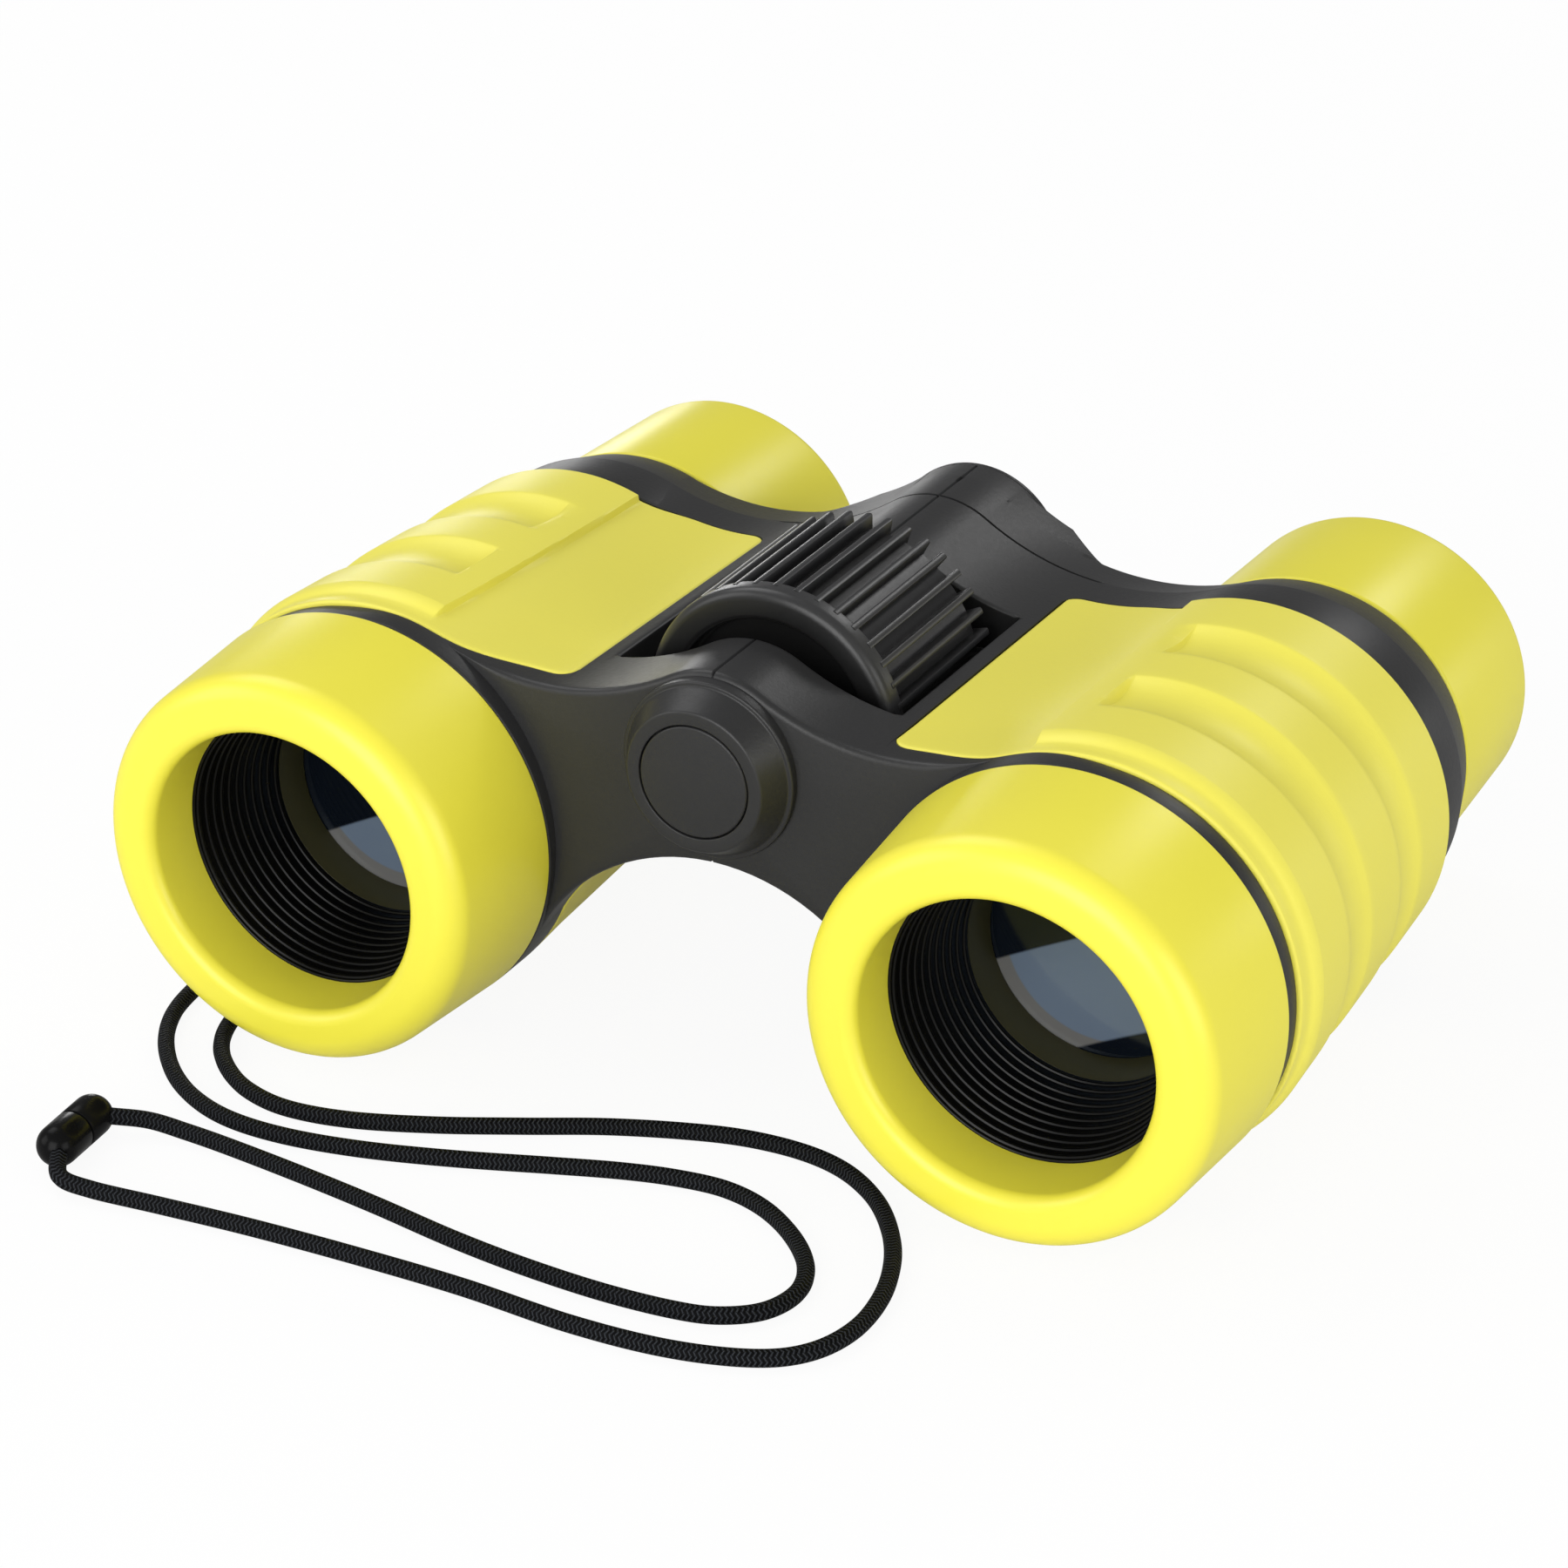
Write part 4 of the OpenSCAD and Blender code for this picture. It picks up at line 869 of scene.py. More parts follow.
class BINOCULARS_OT_studio(bpy.types.Operator):
    """Sets up the camera, the floor, the soft lights and the white background"""

    bl_idname = "binoculars.studio"
    bl_label = "Studio"

    def execute(self, context):
        settings = context.scene.binocular_studio
        data = bpy.data.cameras.new("Camera")
        data.lens, data.sensor_width, data.sensor_fit = settings.focal, 36.0, "HORIZONTAL"
        data.clip_start, data.clip_end = 0.01, 20.0
        camera = bpy.data.objects.new("Camera", data)
        around, up = settings.azimuth, settings.elevation
        back = Vector((sin(around) * cos(up), -cos(around) * cos(up), sin(up)))
        right = Vector((cos(around), sin(around), 0))
        top = back.cross(right)
        turned_right = cos(settings.roll) * right + sin(settings.roll) * top
        turned_top = -sin(settings.roll) * right + cos(settings.roll) * top
        camera.matrix_world = Matrix.Translation(Vector(settings.place)) @ Matrix(
            (turned_right, turned_top, back)).transposed().to_4x4()
        context.scene.collection.objects.link(camera)
        context.scene.camera = camera
        context.scene.view_settings.view_transform = "Standard"
        self.world(context)
        self.floor(context)
        middle = Vector((0, 0, 0.018))
        for name, place, size, power in (
            ("Front softbox", (0.05, -0.82, 0.30), 0.6, 4.6),
            ("Top softbox", (-0.48, 0.14, 0.72), 0.45, 1.6),
            ("Left softbox", (-0.70, -0.50, 0.40), 0.5, 1.8),
            ("Right softbox", (0.75, -0.25, 0.18), 0.5, 2.1),
            ("Rear high lamp", (0.13, 0.62, 0.46), 0.16, 0.5),
            ("Rear left lamp", (-0.52, 0.62, 0.10), 0.14, 0.35),
            ("Rear right lamp", (0.50, 0.62, 0.10), 0.14, 0.18),
        ):
            lamp = bpy.data.lights.new(name, "AREA")
            lamp.shape, lamp.size, lamp.energy = "SQUARE", size, power
            light = bpy.data.objects.new(name, lamp)
            light.location = place
            light.rotation_euler = (middle - Vector(place)).to_track_quat("-Z", "Y").to_euler()
            context.scene.collection.objects.link(light)
        return {"FINISHED"}

    def world(self, context):
        """A white world that lights evenly, and is dimmer in reflections than it looks."""
        world = bpy.data.worlds.new("White studio")
        context.scene.world = world
        world.use_nodes = True
        nodes = Nodes(world.node_tree)
        lit = world.node_tree.nodes["Background"]
        nodes.feed(lit.inputs["Color"], (1, 1, 1, 1))
        nodes.feed(lit.inputs["Strength"], 0.45 - nodes.ray("Glossy") * 0.22)
        white = nodes.node("ShaderNodeBackground", {"Color": (1, 1, 1, 1)})
        nodes.show(nodes.mixed(nodes.seen(), nodes.take(lit), nodes.take(white)), "World Output")

    def floor(self, context):
        """A pale floor that glows for the camera, is dimmer in reflections, and isn't seen from below."""
        reach = 4.0
        mesh = bpy.data.meshes.new("Floor")
        corners = [(-reach, -reach, 0), (reach, -reach, 0), (reach, reach, 0), (-reach, reach, 0)]
        mesh.from_pydata(corners, [], [(0, 1, 2, 3)])
        floor = bpy.data.objects.new("Floor", mesh)
        context.scene.collection.objects.link(floor)
        finish = Finish("Pale floor")
        finish.set(Base_Color=(0.92, 0.92, 0.92, 1), Roughness=0.9, Specular_IOR_Level=0.0)
        glow, dim = [
            finish.take(finish.node("ShaderNodeEmission", {"Color": (1, 1, 1, 1), "Strength": strength}))
            for strength in (1.0, 0.35)]
        mirrored = finish.mixed(finish.ray("Glossy") * 0.8, finish.take(finish.shader), dim)
        upper = finish.mixed(finish.seen() * 0.93, mirrored, glow)
        below = finish.take(finish.node("ShaderNodeNewGeometry"), "Backfacing")
        clear = finish.take(finish.node("ShaderNodeBsdfTransparent"))
        finish.show(finish.mixed(below, upper, clear), "Material Output")
        mesh.materials.append(finish.material)


# Route of the neck cord, in millimetres, near that of the part's source.
# Points without a height lie on the floor.

lug_hole = (-45.647, 16.7, 4.550)
clasp_middle = np.array([-40.7, -55.9, 1.75])
clasp_turn = radians(94)
clasp_way = np.array([cos(clasp_turn), sin(clasp_turn), 0])
floor_height = 0.8
cord_a = [
    (-45.6, 13.5, 4.6), (-45.9, 8, 4.1), (-46.3, 2, 2.9), (-46.6, -5, 1.7), (-46.8, -12, 1), (-46.9, -19),
    (-46.8, -26), (-46.6, -31), (-45.7, -35.4), (-43.5, -39.6), (-40, -43.5), (-36, -46.2), (-31.5, -47.7),
    (-26, -47.9), (-19.5, -46.9), (-12.3, -44.9), (-5, -42.4), (0.5, -40.6), (5, -39.6), (9.2, -39.4),
    (13.2, -40.6), (17, -43.2), (19.8, -46.4), (20.9, -49.8), (20, -53), (17.4, -55.1), (14, -56),
    (8, -56.3), (1, -55.9), (-6, -55), (-14, -53.5), (-21.5, -52.3), (-29, -51.3), (-33.5, -51, 0.9),
    (-36.8, -51.4, 1.3)]
cord_b = [
    (-45.6, 20, 4.6), (-45.2, 23, 4), (-43.8, 25.3, 3), (-41.9, 25.4, 2), (-40.7, 23.2, 1.2), (-40.6, 19.5),
    (-40.8, 12), (-41, 4), (-41.2, -5), (-41.3, -14), (-41.4, -23), (-41.3, -30), (-40.5, -34.8),
    (-38.8, -38.4), (-36, -41.3), (-32.6, -43.3), (-28.4, -44.2), (-23, -43.5), (-16.5, -41.2),
    (-10, -38.2), (-4, -35.3), (2, -33.1), (7, -31.9), (12, -31.8), (16.2, -32.9), (20, -35.4), (23, -38.8),
    (25.3, -42.8), (26.8, -47.6), (27, -52.4), (25.5, -56.4), (22.2, -59), (16, -60.7), (8, -61.1),
    (-2, -60.4), (-12, -60.3), (-21, -60.5), (-29, -61), (-35, -61.7, 1), (-38, -61.6, 1.3)]


def smooth_path(points, step):
    """Catmull-Rom curve through the points, with a point about every step."""
    knots = np.array(points, float)
    knots = np.vstack([2 * knots[0] - knots[1], knots, 2 * knots[-1] - knots[-2]])
    path = []
    for place in range(1, len(knots) - 2):
        a, b, c, d = knots[place - 1:place + 3]
        count = max(2, int(np.linalg.norm(c - b) / step))
        for share in np.arange(count) / count:
            path.append(0.5 * (2 * b + (c - a) * share + (2 * a - 5 * b + 4 * c - d) * share ** 2
                               + (3 * b - a - 3 * c + d) * share ** 3))
    path.append(knots[-2])
    return np.array(path)


class BINOCULARS_OT_neck_cord(bpy.types.Operator):
    """Makes the two lengths of braided neck cord and the clasp that joins them"""

    bl_idname = "binoculars.neck_cord"
    bl_label = "Neck cord"

    def execute(self, context):
        sizes = context.scene.binocular_cord
        diameter = sizes.diameter / MM
        clasp_r = clasp_middle[2]
        reach = sizes.clasp_length / 2 - clasp_r
        seat_r = clasp_r - diameter / 4 - 0.04
        ends = []
        for sign, angle in ((1, 26), (-1, -53)):
            out = np.array([cos(radians(angle)), sin(radians(angle)), 0])
            ends.append(clasp_middle + sign * reach * clasp_way + seat_r * out)
        halves = self.clasp(sizes.clasp_length, clasp_r)
        for name, node, points, end, with_piece in (
            ("neck_cord_inner_loop", "neck_cord_a", cord_a, ends[0], halves[0]),
            ("neck_cord_outer_loop", "neck_cord_b", cord_b, ends[1], halves[1]),
        ):
            points = [(x, y, *(height or (floor_height,))) for x, y, *height in points]
            path = smooth_path([lug_hole, *points, tuple(end)], sizes.ring_step)
            self.tube(name, node, path, diameter, with_piece)
        return {"FINISHED"}

    def tube(self, name, node, path, diameter, clasp_half):
        """A closed tube along the path, with a map that runs round and along it."""
        sides = 16
        steps = np.linalg.norm(np.diff(path, axis=0), axis=1)
        run = np.concatenate([[0], np.cumsum(steps)])
        ways = np.gradient(path, run, axis=0)
        ways /= np.linalg.norm(ways, axis=1)[:, None]
        side = np.cross(ways[0], (0, 0, 1))
        side /= np.linalg.norm(side)
        points = []
        for place, way in zip(path, ways):
            side = side - way * (side @ way)
            side /= np.linalg.norm(side)
            up = np.cross(side, way)
            for turn in range(sides):
                angle = 2 * pi * turn / sides
                points.append(place + diameter / 2 * (cos(angle) * side + sin(angle) * up))
        faces, maps = [], []
        lengths = run / diameter
        for ring in range(len(path) - 1):
            here, there = ring * sides, (ring + 1) * sides
            for turn in range(sides):
                after = (turn + 1) % sides
                faces.append((here + turn, here + after, there + after, there + turn))
                left, right = turn / sides, (turn + 1) / sides
                maps.append([(left, lengths[ring]), (right, lengths[ring]),
                             (right, lengths[ring + 1]), (left, lengths[ring + 1])])
        last = (len(path) - 1) * sides
        faces += [tuple(range(sides))[::-1], tuple(range(last, last + sides))]
        maps += [[(0, 0)] * sides, [(0, lengths[-1])] * sides]
        mesh = bpy.data.meshes.new(name)
        mesh.from_pydata((np.array(points) * MM).tolist(), [], faces)
        layer = mesh.uv_layers.new(name="Braid")
        layer.data.foreach_set("uv", [part for face in maps for pair in face for part in pair])
        face_outwards(mesh, weld=False)
        piece = place_piece(mesh, name, "cord", "body", node)

    def clasp(self, length, radius):
        """Two halves of a round-ended clasp with a narrow joint between them."""
        joint, core, bevel, groove = 0.07, 0.5, 0.12, 0.2
        turn = Matrix.Translation(Vector(clasp_middle * MM)) @ Matrix.Rotation(clasp_turn - pi / 2, 4, "Z")
        pieces = []
        for name, node, sign in (
            ("clasp_far_half", "clasp_socket", 1), ("clasp_near_half", "clasp_plug", -1),
        ):
            outline = [(0, -sign * core), (radius - groove, -sign * core), (radius - groove, sign * joint),
                       (radius - bevel, sign * joint), (radius - bevel / 3, sign * (joint + bevel / 3)),
                       (radius, sign * (joint + bevel))]
            outline += [(radius * cos(angle), sign * (length / 2 - radius * (1 - sin(angle))))
                        for angle in np.linspace(0, pi / 2, 14)]
            shape = Shape()
            points, faces = lathe(outline, 0, 0, 64)
            shape.add([tuple(turn @ Vector(point * MM) / MM) for point in points], faces)
            pieces.append(shape.make(name, "gloss black", "body", "black_gloss", node))
        return pieces


class BINOCULARS_OT_half_bodies(bpy.types.Operator):
    """Makes the two half bodies with their barrels, bridge, window, seams and strap lug"""

    bl_idname = "binoculars.half_bodies"
    bl_label = "Half bodies"

    def execute(self, context):
        shape = body_half(context.scene.binocular_body)
        other = shape.mirrored()
        self.lug(other)
        shape.make("right_half_body", "body black", "body", "black_body", "right_body")
        other.make("left_half_body", "body black", "body", "black_body", "left_body")
        return {"FINISHED"}

    def lug(self, shape):
        """Strap lug under the left barrel, with a hole along the barrel."""
        reach, thick, end_r, hole_r, slant = 19.3, 2.2, 2.2, 0.66, radians(225)
        way = np.array([cos(slant), sin(slant)])
        side = np.array([-way[1], way[0]])
        barrel = np.array([-half, 0])
        centre, root = barrel + reach * way, barrel + (crease_r - 1.2) * way
        outer = [root + end_r * side]
        outer += [centre + end_r * (cos(angle) * way + sin(angle) * side)
                  for angle in np.linspace(pi / 2, -pi / 2, 25)]
        outer.append(root - end_r * side)
        inner = [centre + hole_r * (cos(angle) * way + sin(angle) * side)
                 for angle in np.linspace(pi, -pi, len(outer), endpoint=False)]
        rings = []
        for line, y, grow in (
            (outer, -1, -0.25), (outer, -0.85, -0.07), (outer, -0.6, 0), (outer, 0.6, 0),
            (outer, 0.85, -0.07), (outer, 1, -0.25), (inner, 1, 0.15), (inner, 0.85, 0), (inner, -0.85, 0),
            (inner, -1, 0.15),
        ):
            line = np.array(line)
            out = line - centre
            out = out / np.linalg.norm(out, axis=1)[:, None]
            line = line + grow * out
            along = np.full(len(line), crease_y + y * thick / 2)
            rings.append(np.stack([line[:, 0], along, axis_z + line[:, 1]], 1))
        shape.add(*loft(rings, True))


class BINOCULARS_OT_grips(bpy.types.Operator):
    """Makes the two yellow grips with their raised pads and finger hollows"""

    bl_idname = "binoculars.grips"
    bl_label = "Grips"

    def execute(self, context):
        shape = self.panel(context.scene.binocular_grips)
        shape.make("right_grip_panel", "grip", "body", "yellow_grip", "right_grip")
        shape.mirrored().make("left_grip_panel", "grip", "body", "yellow_grip", "left_grip")
        return {"FINISHED"}

    def panel(self, sizes):
        """The right grip: rows along the barrel and columns round it, finer at every edge."""
        rim, angle_step = sizes.rim, 0.0396
        fine = (0.0, 0.03, 0.08, 0.15, 0.22, 0.3)
        front, rear = grip_front_y, grip_rear_y
        pad_front, pad_top = front + 2.2, front + 3.8
        middle = front + 0.535 * (rear - front)
        hollows = [middle - sizes.hollow_pitch / 2, middle + sizes.hollow_pitch / 2]
        wide = sqrt(2 * sizes.hollow_radius * sizes.hollow_depth - sizes.hollow_depth ** 2)
        near = [(front, fine), (rear, [-f for f in fine]), (pad_front, (-0.15, 0, 0.15)),
                (pad_top, (-0.15, 0, 0.15)), (rear - 0.55, (-0.1, -0.05, 0, 0.05, 0.1, 0.15, 0.2))]
        near += [(y + sign * wide, (-0.1, -0.03, 0.03, 0.1)) for y in hollows for sign in (-1, 1)]
        near += [(y, np.linspace(-wide - 0.6, wide + 0.6, 21)) for y in hollows]
        rows = graded([front, rear], 0.9, near)
        start = Section(front_r)
        edge, stop = sizes.pad_edge, sizes.hollow_edge
        offsets = np.array([-0.3, -0.2, -0.13, -0.07, -0.02, 0.02, 0.07, 0.13, 0.2, 0.3]) / front_r
        angles = graded([start.low_angle + 0.002, start.top_angle - 0.002], angle_step,
                        [(mark, offsets) for mark in (edge, -edge, stop, -stop)])
        sweep = start.low_angle - start.top_angle
        columns = [("hollow", share) for share in self.shares(panel_x, start.top_end[0], fine)]
        columns += [("barrel", (angle - start.top_angle) / sweep) for angle in angles[::-1]]
        columns += [("arch", share) for share in self.shares(panel_x, start.low_end[0], fine)[::-1]]
        top, under = [], []
        for row in rows:
            section = Section(float(barrel_r(row)))
            swing = sizes.pad_swing * (row - front) / (rear - front)
            points, outs, turned = [], [], []
            for run, share in columns:
                if run == "hollow":
                    point, out = section.on_hollow(panel_x + (section.top_end[0] - panel_x) * share)
                    turned.append(9.0)
                elif run == "arch":
                    point, out = section.on_arch(panel_x + (section.low_end[0] - panel_x) * share)
                    turned.append(9.0)
                else:
                    angle = section.top_angle + (section.low_angle - section.top_angle) * share
                    limit = section.top_angle if angle > 0 else -section.low_angle
                    moved = np.interp(abs(angle), [stop, edge, limit], [stop, edge + swing, limit])
                    angle = float(np.copysign(moved if abs(angle) > stop else abs(angle), angle))
                    point, out = section.on_barrel(angle)
                    turned.append(abs(angle))
                points.append(point)
                outs.append(out)
            points, outs, turned = np.array(points), np.array(outs), np.array(turned)
            x = points[:, 0]
            y_front, y_rear = panel_front(x, sizes.corner), panel_rear(x, sizes.corner)
            bend_low, bend_high = front + 7, rear - 4
            y = np.full(len(x), row)
            if row < bend_low:
                y = y_front + (row - front) * (bend_low - y_front) / (bend_low - front)
            elif row > bend_high:
                y = bend_high + (row - bend_high) * (y_rear - bend_high) / (rear - bend_high)
            lift = self.height(sizes, edge + swing, turned, y, section.r, pad_front, pad_top, rear, hollows)
            side = x - panel_x
            near_edge = np.minimum(np.minimum(y - y_front, y_rear - y), np.where(turned > 8, side, 9.0))
            close = np.clip(rim - near_edge, 0, rim)
            drop = rim - np.sqrt(rim ** 2 - close ** 2)
            spread = points + outs * (lift - drop)[:, None]
            inner = points - outs * (panel_t - 0.1)
            top.append(np.stack([spread[:, 0], y, axis_z + spread[:, 1]], 1))
            under.append(np.stack([inner[:, 0], y, axis_z + inner[:, 1]], 1))
        rings = [np.vstack([upper, lower[::-1]]) for upper, lower in zip(top, under)]
        shape = Shape()
        size = len(rings[0])
        points, faces = loft(rings, caps=False)
        width = len(top[0])
        for ring in (0, len(rings) - 1):
            begin = ring * size
            for place in range(width - 1):
                upper, lower = begin + place, begin + size - 2 - place
                faces.append((upper, upper + 1, lower, lower + 1))
        shape.add(points, faces)
        return shape

    def shares(self, low, high, fine):
        """Shares of the run from the panel's inner edge to the barrel, finer at the edge."""
        places = sorted({*fine, 0.45, 0.6, 0.8, 1.0, 1.2, 1.4, *np.linspace(panel_corner, high - low, 12)})
        return [place / (high - low) for place in places]

    def height(self, sizes, edge, turned, y, r, pad_front, pad_top, rear, hollows):
        """Height of the raised pad over the panel, with its slope, its edges and the finger hollows."""
        soft = 0.28
        beside = 1 - ease(-soft / 2, soft / 2, (turned - edge) * r)
        slope = np.clip((y - pad_front) / (pad_top - pad_front), 0, 1)
        slope = slope - 0.06 * np.sin(2 * pi * slope)
        behind = 1 - ease(rear - 0.55, rear - 0.3, y)
        lift = sizes.pad_height * beside * slope * behind
        ends = 1 - ease(-0.6 * soft, 0.6 * soft, (turned - sizes.hollow_edge) * r)
        for middle in hollows:
            off = np.clip(np.abs(y - middle), 0, sizes.hollow_radius)
            # A hollow is shallower round the side of the barrel
            deep = sizes.hollow_depth * (0.55 + 0.45 * ease(radians(15), radians(75), turned))
            depth = np.sqrt(sizes.hollow_radius ** 2 - off ** 2) - (sizes.hollow_radius - deep)
            lift = lift - 0.5 * (depth + np.sqrt(depth ** 2 + 0.1 ** 2)) * ends * beside
        return lift


class BINOCULARS_OT_front_rings(bpy.types.Operator):
    """Makes the two lemon front rings with their round lips"""

    bl_idname = "binoculars.front_rings"
    bl_label = "Front rings"

    def execute(self, context):
        sizes = context.scene.binocular_optics
        seat_r, spigot_r = hood_high[0] - half + 0.03, cell_bore_r - 0.03
        lip_r, mouth_r = sizes.mouth_radius + 4.6, sizes.mouth_radius
        outline = rounded([
            (front_r, collar_y, 0.25), (lip_r, nose_y, sizes.lip_round), (mouth_r, nose_y, sizes.inner_round),
            (mouth_r, hood_low[1], 0), (seat_r, hood_low[1], 0), (seat_r, hood_high[1], 0),
            (spigot_r, hood_high[1], 0), (spigot_r, collar_y, 0)], 14)
        turned_pairs("body", 224, [(outline, "_lemon_ring", "lemon", "yellow_trim", "_front_ring")])
        return {"FINISHED"}


# Geometry Nodes for the ribs

def named_tree(name, inputs):
    """A new Geometry Nodes tree, the outputs of its named inputs, and their identifiers."""
    tree = bpy.data.node_groups.new(name, "GeometryNodeTree")
    sockets = {}
    for label, kind in inputs.items():
        socket = tree.interface.new_socket(label, in_out="INPUT", socket_type="NodeSocket" + kind)
        sockets[label] = socket.identifier
    tree.interface.new_socket("Geometry", in_out="OUTPUT", socket_type="NodeSocketGeometry")
    return tree, tree.nodes.new("NodeGroupInput").outputs, sockets


def grow(tree, kind, sockets=None, **settings):
    """Adds a node to a Geometry Nodes tree, settings first, then values or links. Returns its output."""
    made = tree.nodes.new(kind)
    for key, value in settings.items():
        setattr(made, key, value)
    for key, value in (sockets or {}).items():
        if isinstance(value, bpy.types.NodeSocket):
            tree.links.new(value, made.inputs[key])
        else:
            made.inputs[key].default_value = value
    return made.outputs[0]


def end_tree(tree, instances, finish):
    """Makes a tree's instances real, gives them their finish and sends them out."""
    real = grow(tree, "GeometryNodeRealizeInstances", {"Geometry": instances})
    dressed = grow(tree, "GeometryNodeSetMaterial", {"Geometry": real, "Material": finish})
    tree.links.new(dressed, tree.nodes.new("NodeGroupOutput").inputs[0])


def run_tree(tree, sockets, values):
    """Evaluates a tree on an empty mesh with the given inputs. Returns points in millimetres and faces."""
    holder = bpy.data.objects.new("Holder", bpy.data.meshes.new("Holder"))
    bpy.context.scene.collection.objects.link(holder)
    modifier = holder.modifiers.new("Nodes", "NODES")
    modifier.node_group = tree
    for label, value in values.items():
        modifier[sockets[label]] = value
    depsgraph = bpy.context.evaluated_depsgraph_get()
    mesh = bpy.data.meshes.new_from_object(holder.evaluated_get(depsgraph), depsgraph=depsgraph)
    holder.modifiers.clear()
    bpy.data.objects.remove(holder)
    points = np.empty(len(mesh.vertices) * 3)
    mesh.vertices.foreach_get("co", points)
    return points.reshape(-1, 3) / MM, [tuple(face.vertices) for face in mesh.polygons]


def rib_rings():
    """Tree: rings along an axis, each a little smaller than the one before."""
    tree, out, sockets = named_tree("Hood ribs", {
        "Count": "Int", "Radius": "Float", "Section radius": "Float", "Pitch": "Float", "Shrink": "Float",
        "Centre": "Vector", "Finish": "Material"})
    circle = "GeometryNodeCurvePrimitiveCircle"
    round_line = grow(tree, circle, {"Resolution": 128, "Radius": out["Radius"]})
    section = grow(tree, circle, {"Resolution": 8, "Radius": out["Section radius"]})
    ring = grow(tree, "GeometryNodeCurveToMesh", {"Curve": round_line, "Profile Curve": section})
    stood = grow(tree, "GeometryNodeTransform", {"Geometry": ring, "Rotation": (pi / 2, 0, 0)})
    step = grow(tree, "ShaderNodeCombineXYZ", {"Y": out["Pitch"]})
    line = grow(tree, "GeometryNodeMeshLine", {
        "Count": out["Count"], "Start Location": out["Centre"], "Offset": step})
    index = grow(tree, "GeometryNodeInputIndex")
    loss = grow(tree, "ShaderNodeMath", {0: index, 1: out["Shrink"]}, operation="MULTIPLY")
    size = grow(tree, "ShaderNodeMath", {0: 1.0, 1: loss}, operation="SUBTRACT")
    placed = grow(tree, "GeometryNodeInstanceOnPoints", {"Points": line, "Instance": stood, "Scale": size})
    end_tree(tree, placed, out["Finish"])
    return tree, sockets


class BINOCULARS_OT_hoods(bpy.types.Operator):
    """Makes the two black hood tubes with their fine ribs"""

    bl_idname = "binoculars.hoods"
    bl_label = "Hood tubes"

    def execute(self, context):
        sizes = context.scene.binocular_optics
        outer_r = hood_high[0] - half
        mouth_r, end_r = 12.0, 10.1
        low, high = hood_low[1], hood_high[1]
        pitch, shrink = (high - low) / sizes.hood_ribs, (mouth_r - end_r) / sizes.hood_ribs
        first_r = mouth_r - 0.5 * shrink
        tube = rounded([(outer_r, low, 0.1), (mouth_r, low, 0.15), (end_r, high, 0), (outer_r, high, 0)], 3)
        tree, sockets = rib_rings()
        for side, name in SIDES:
            shape = Shape()
            shape.add(*lathe(tube, side * half, axis_z, 160))
            shape.add(*run_tree(tree, sockets, {
                "Count": sizes.hood_ribs, "Radius": first_r * MM,
                "Section radius": sizes.hood_rib_radius * MM, "Pitch": pitch * MM, "Shrink": shrink / first_r,
                "Centre": (side * half * MM, (low + 0.5 * pitch) * MM, axis_z * MM),
                "Finish": finishes["hood black"]}))
            shape.make(name + "_ribbed_hood", "hood black", "body", "black_gloss", name + "_hood_tube")
        return {"FINISHED"}


class BINOCULARS_OT_objectives(bpy.types.Operator):
    """Makes the objective lenses and their olive retainers"""

    bl_idname = "binoculars.objectives"
    bl_label = "Objectives"

    def execute(self, context):
        sizes = context.scene.binocular_optics
        outer_r, clear_r, wide_r = lens_high[0] - half, 9.4, 10.1
        seat_y, keeper_y = keeper_high[1], keeper_high[1] - 0.02
        bend = (clear_r ** 2 + sizes.lens_dish ** 2) / (2 * sizes.lens_dish)
        dish = [(x, seat_y + sizes.lens_dish - (bend - sqrt(bend ** 2 - x ** 2)))
                for x in np.linspace(0, clear_r, 20)]
        lens = dish + [(outer_r, seat_y), (outer_r, seat_y + 3.0), (0, lens_high[1])]
        keeper = rounded([
            (wide_r, keeper_low[1], 0.12), (outer_r, keeper_low[1], 0), (outer_r, keeper_y, 0),
            (clear_r, keeper_y, 0.1)], 4)
        turned_pairs("body", 160, [
            (lens, "_objective_lens", "{} lens", "lens_glass", "_objective"),
            (keeper, "_olive_retainer", "olive", "dark_olive", "_lens_retainer")])
        return {"FINISHED"}


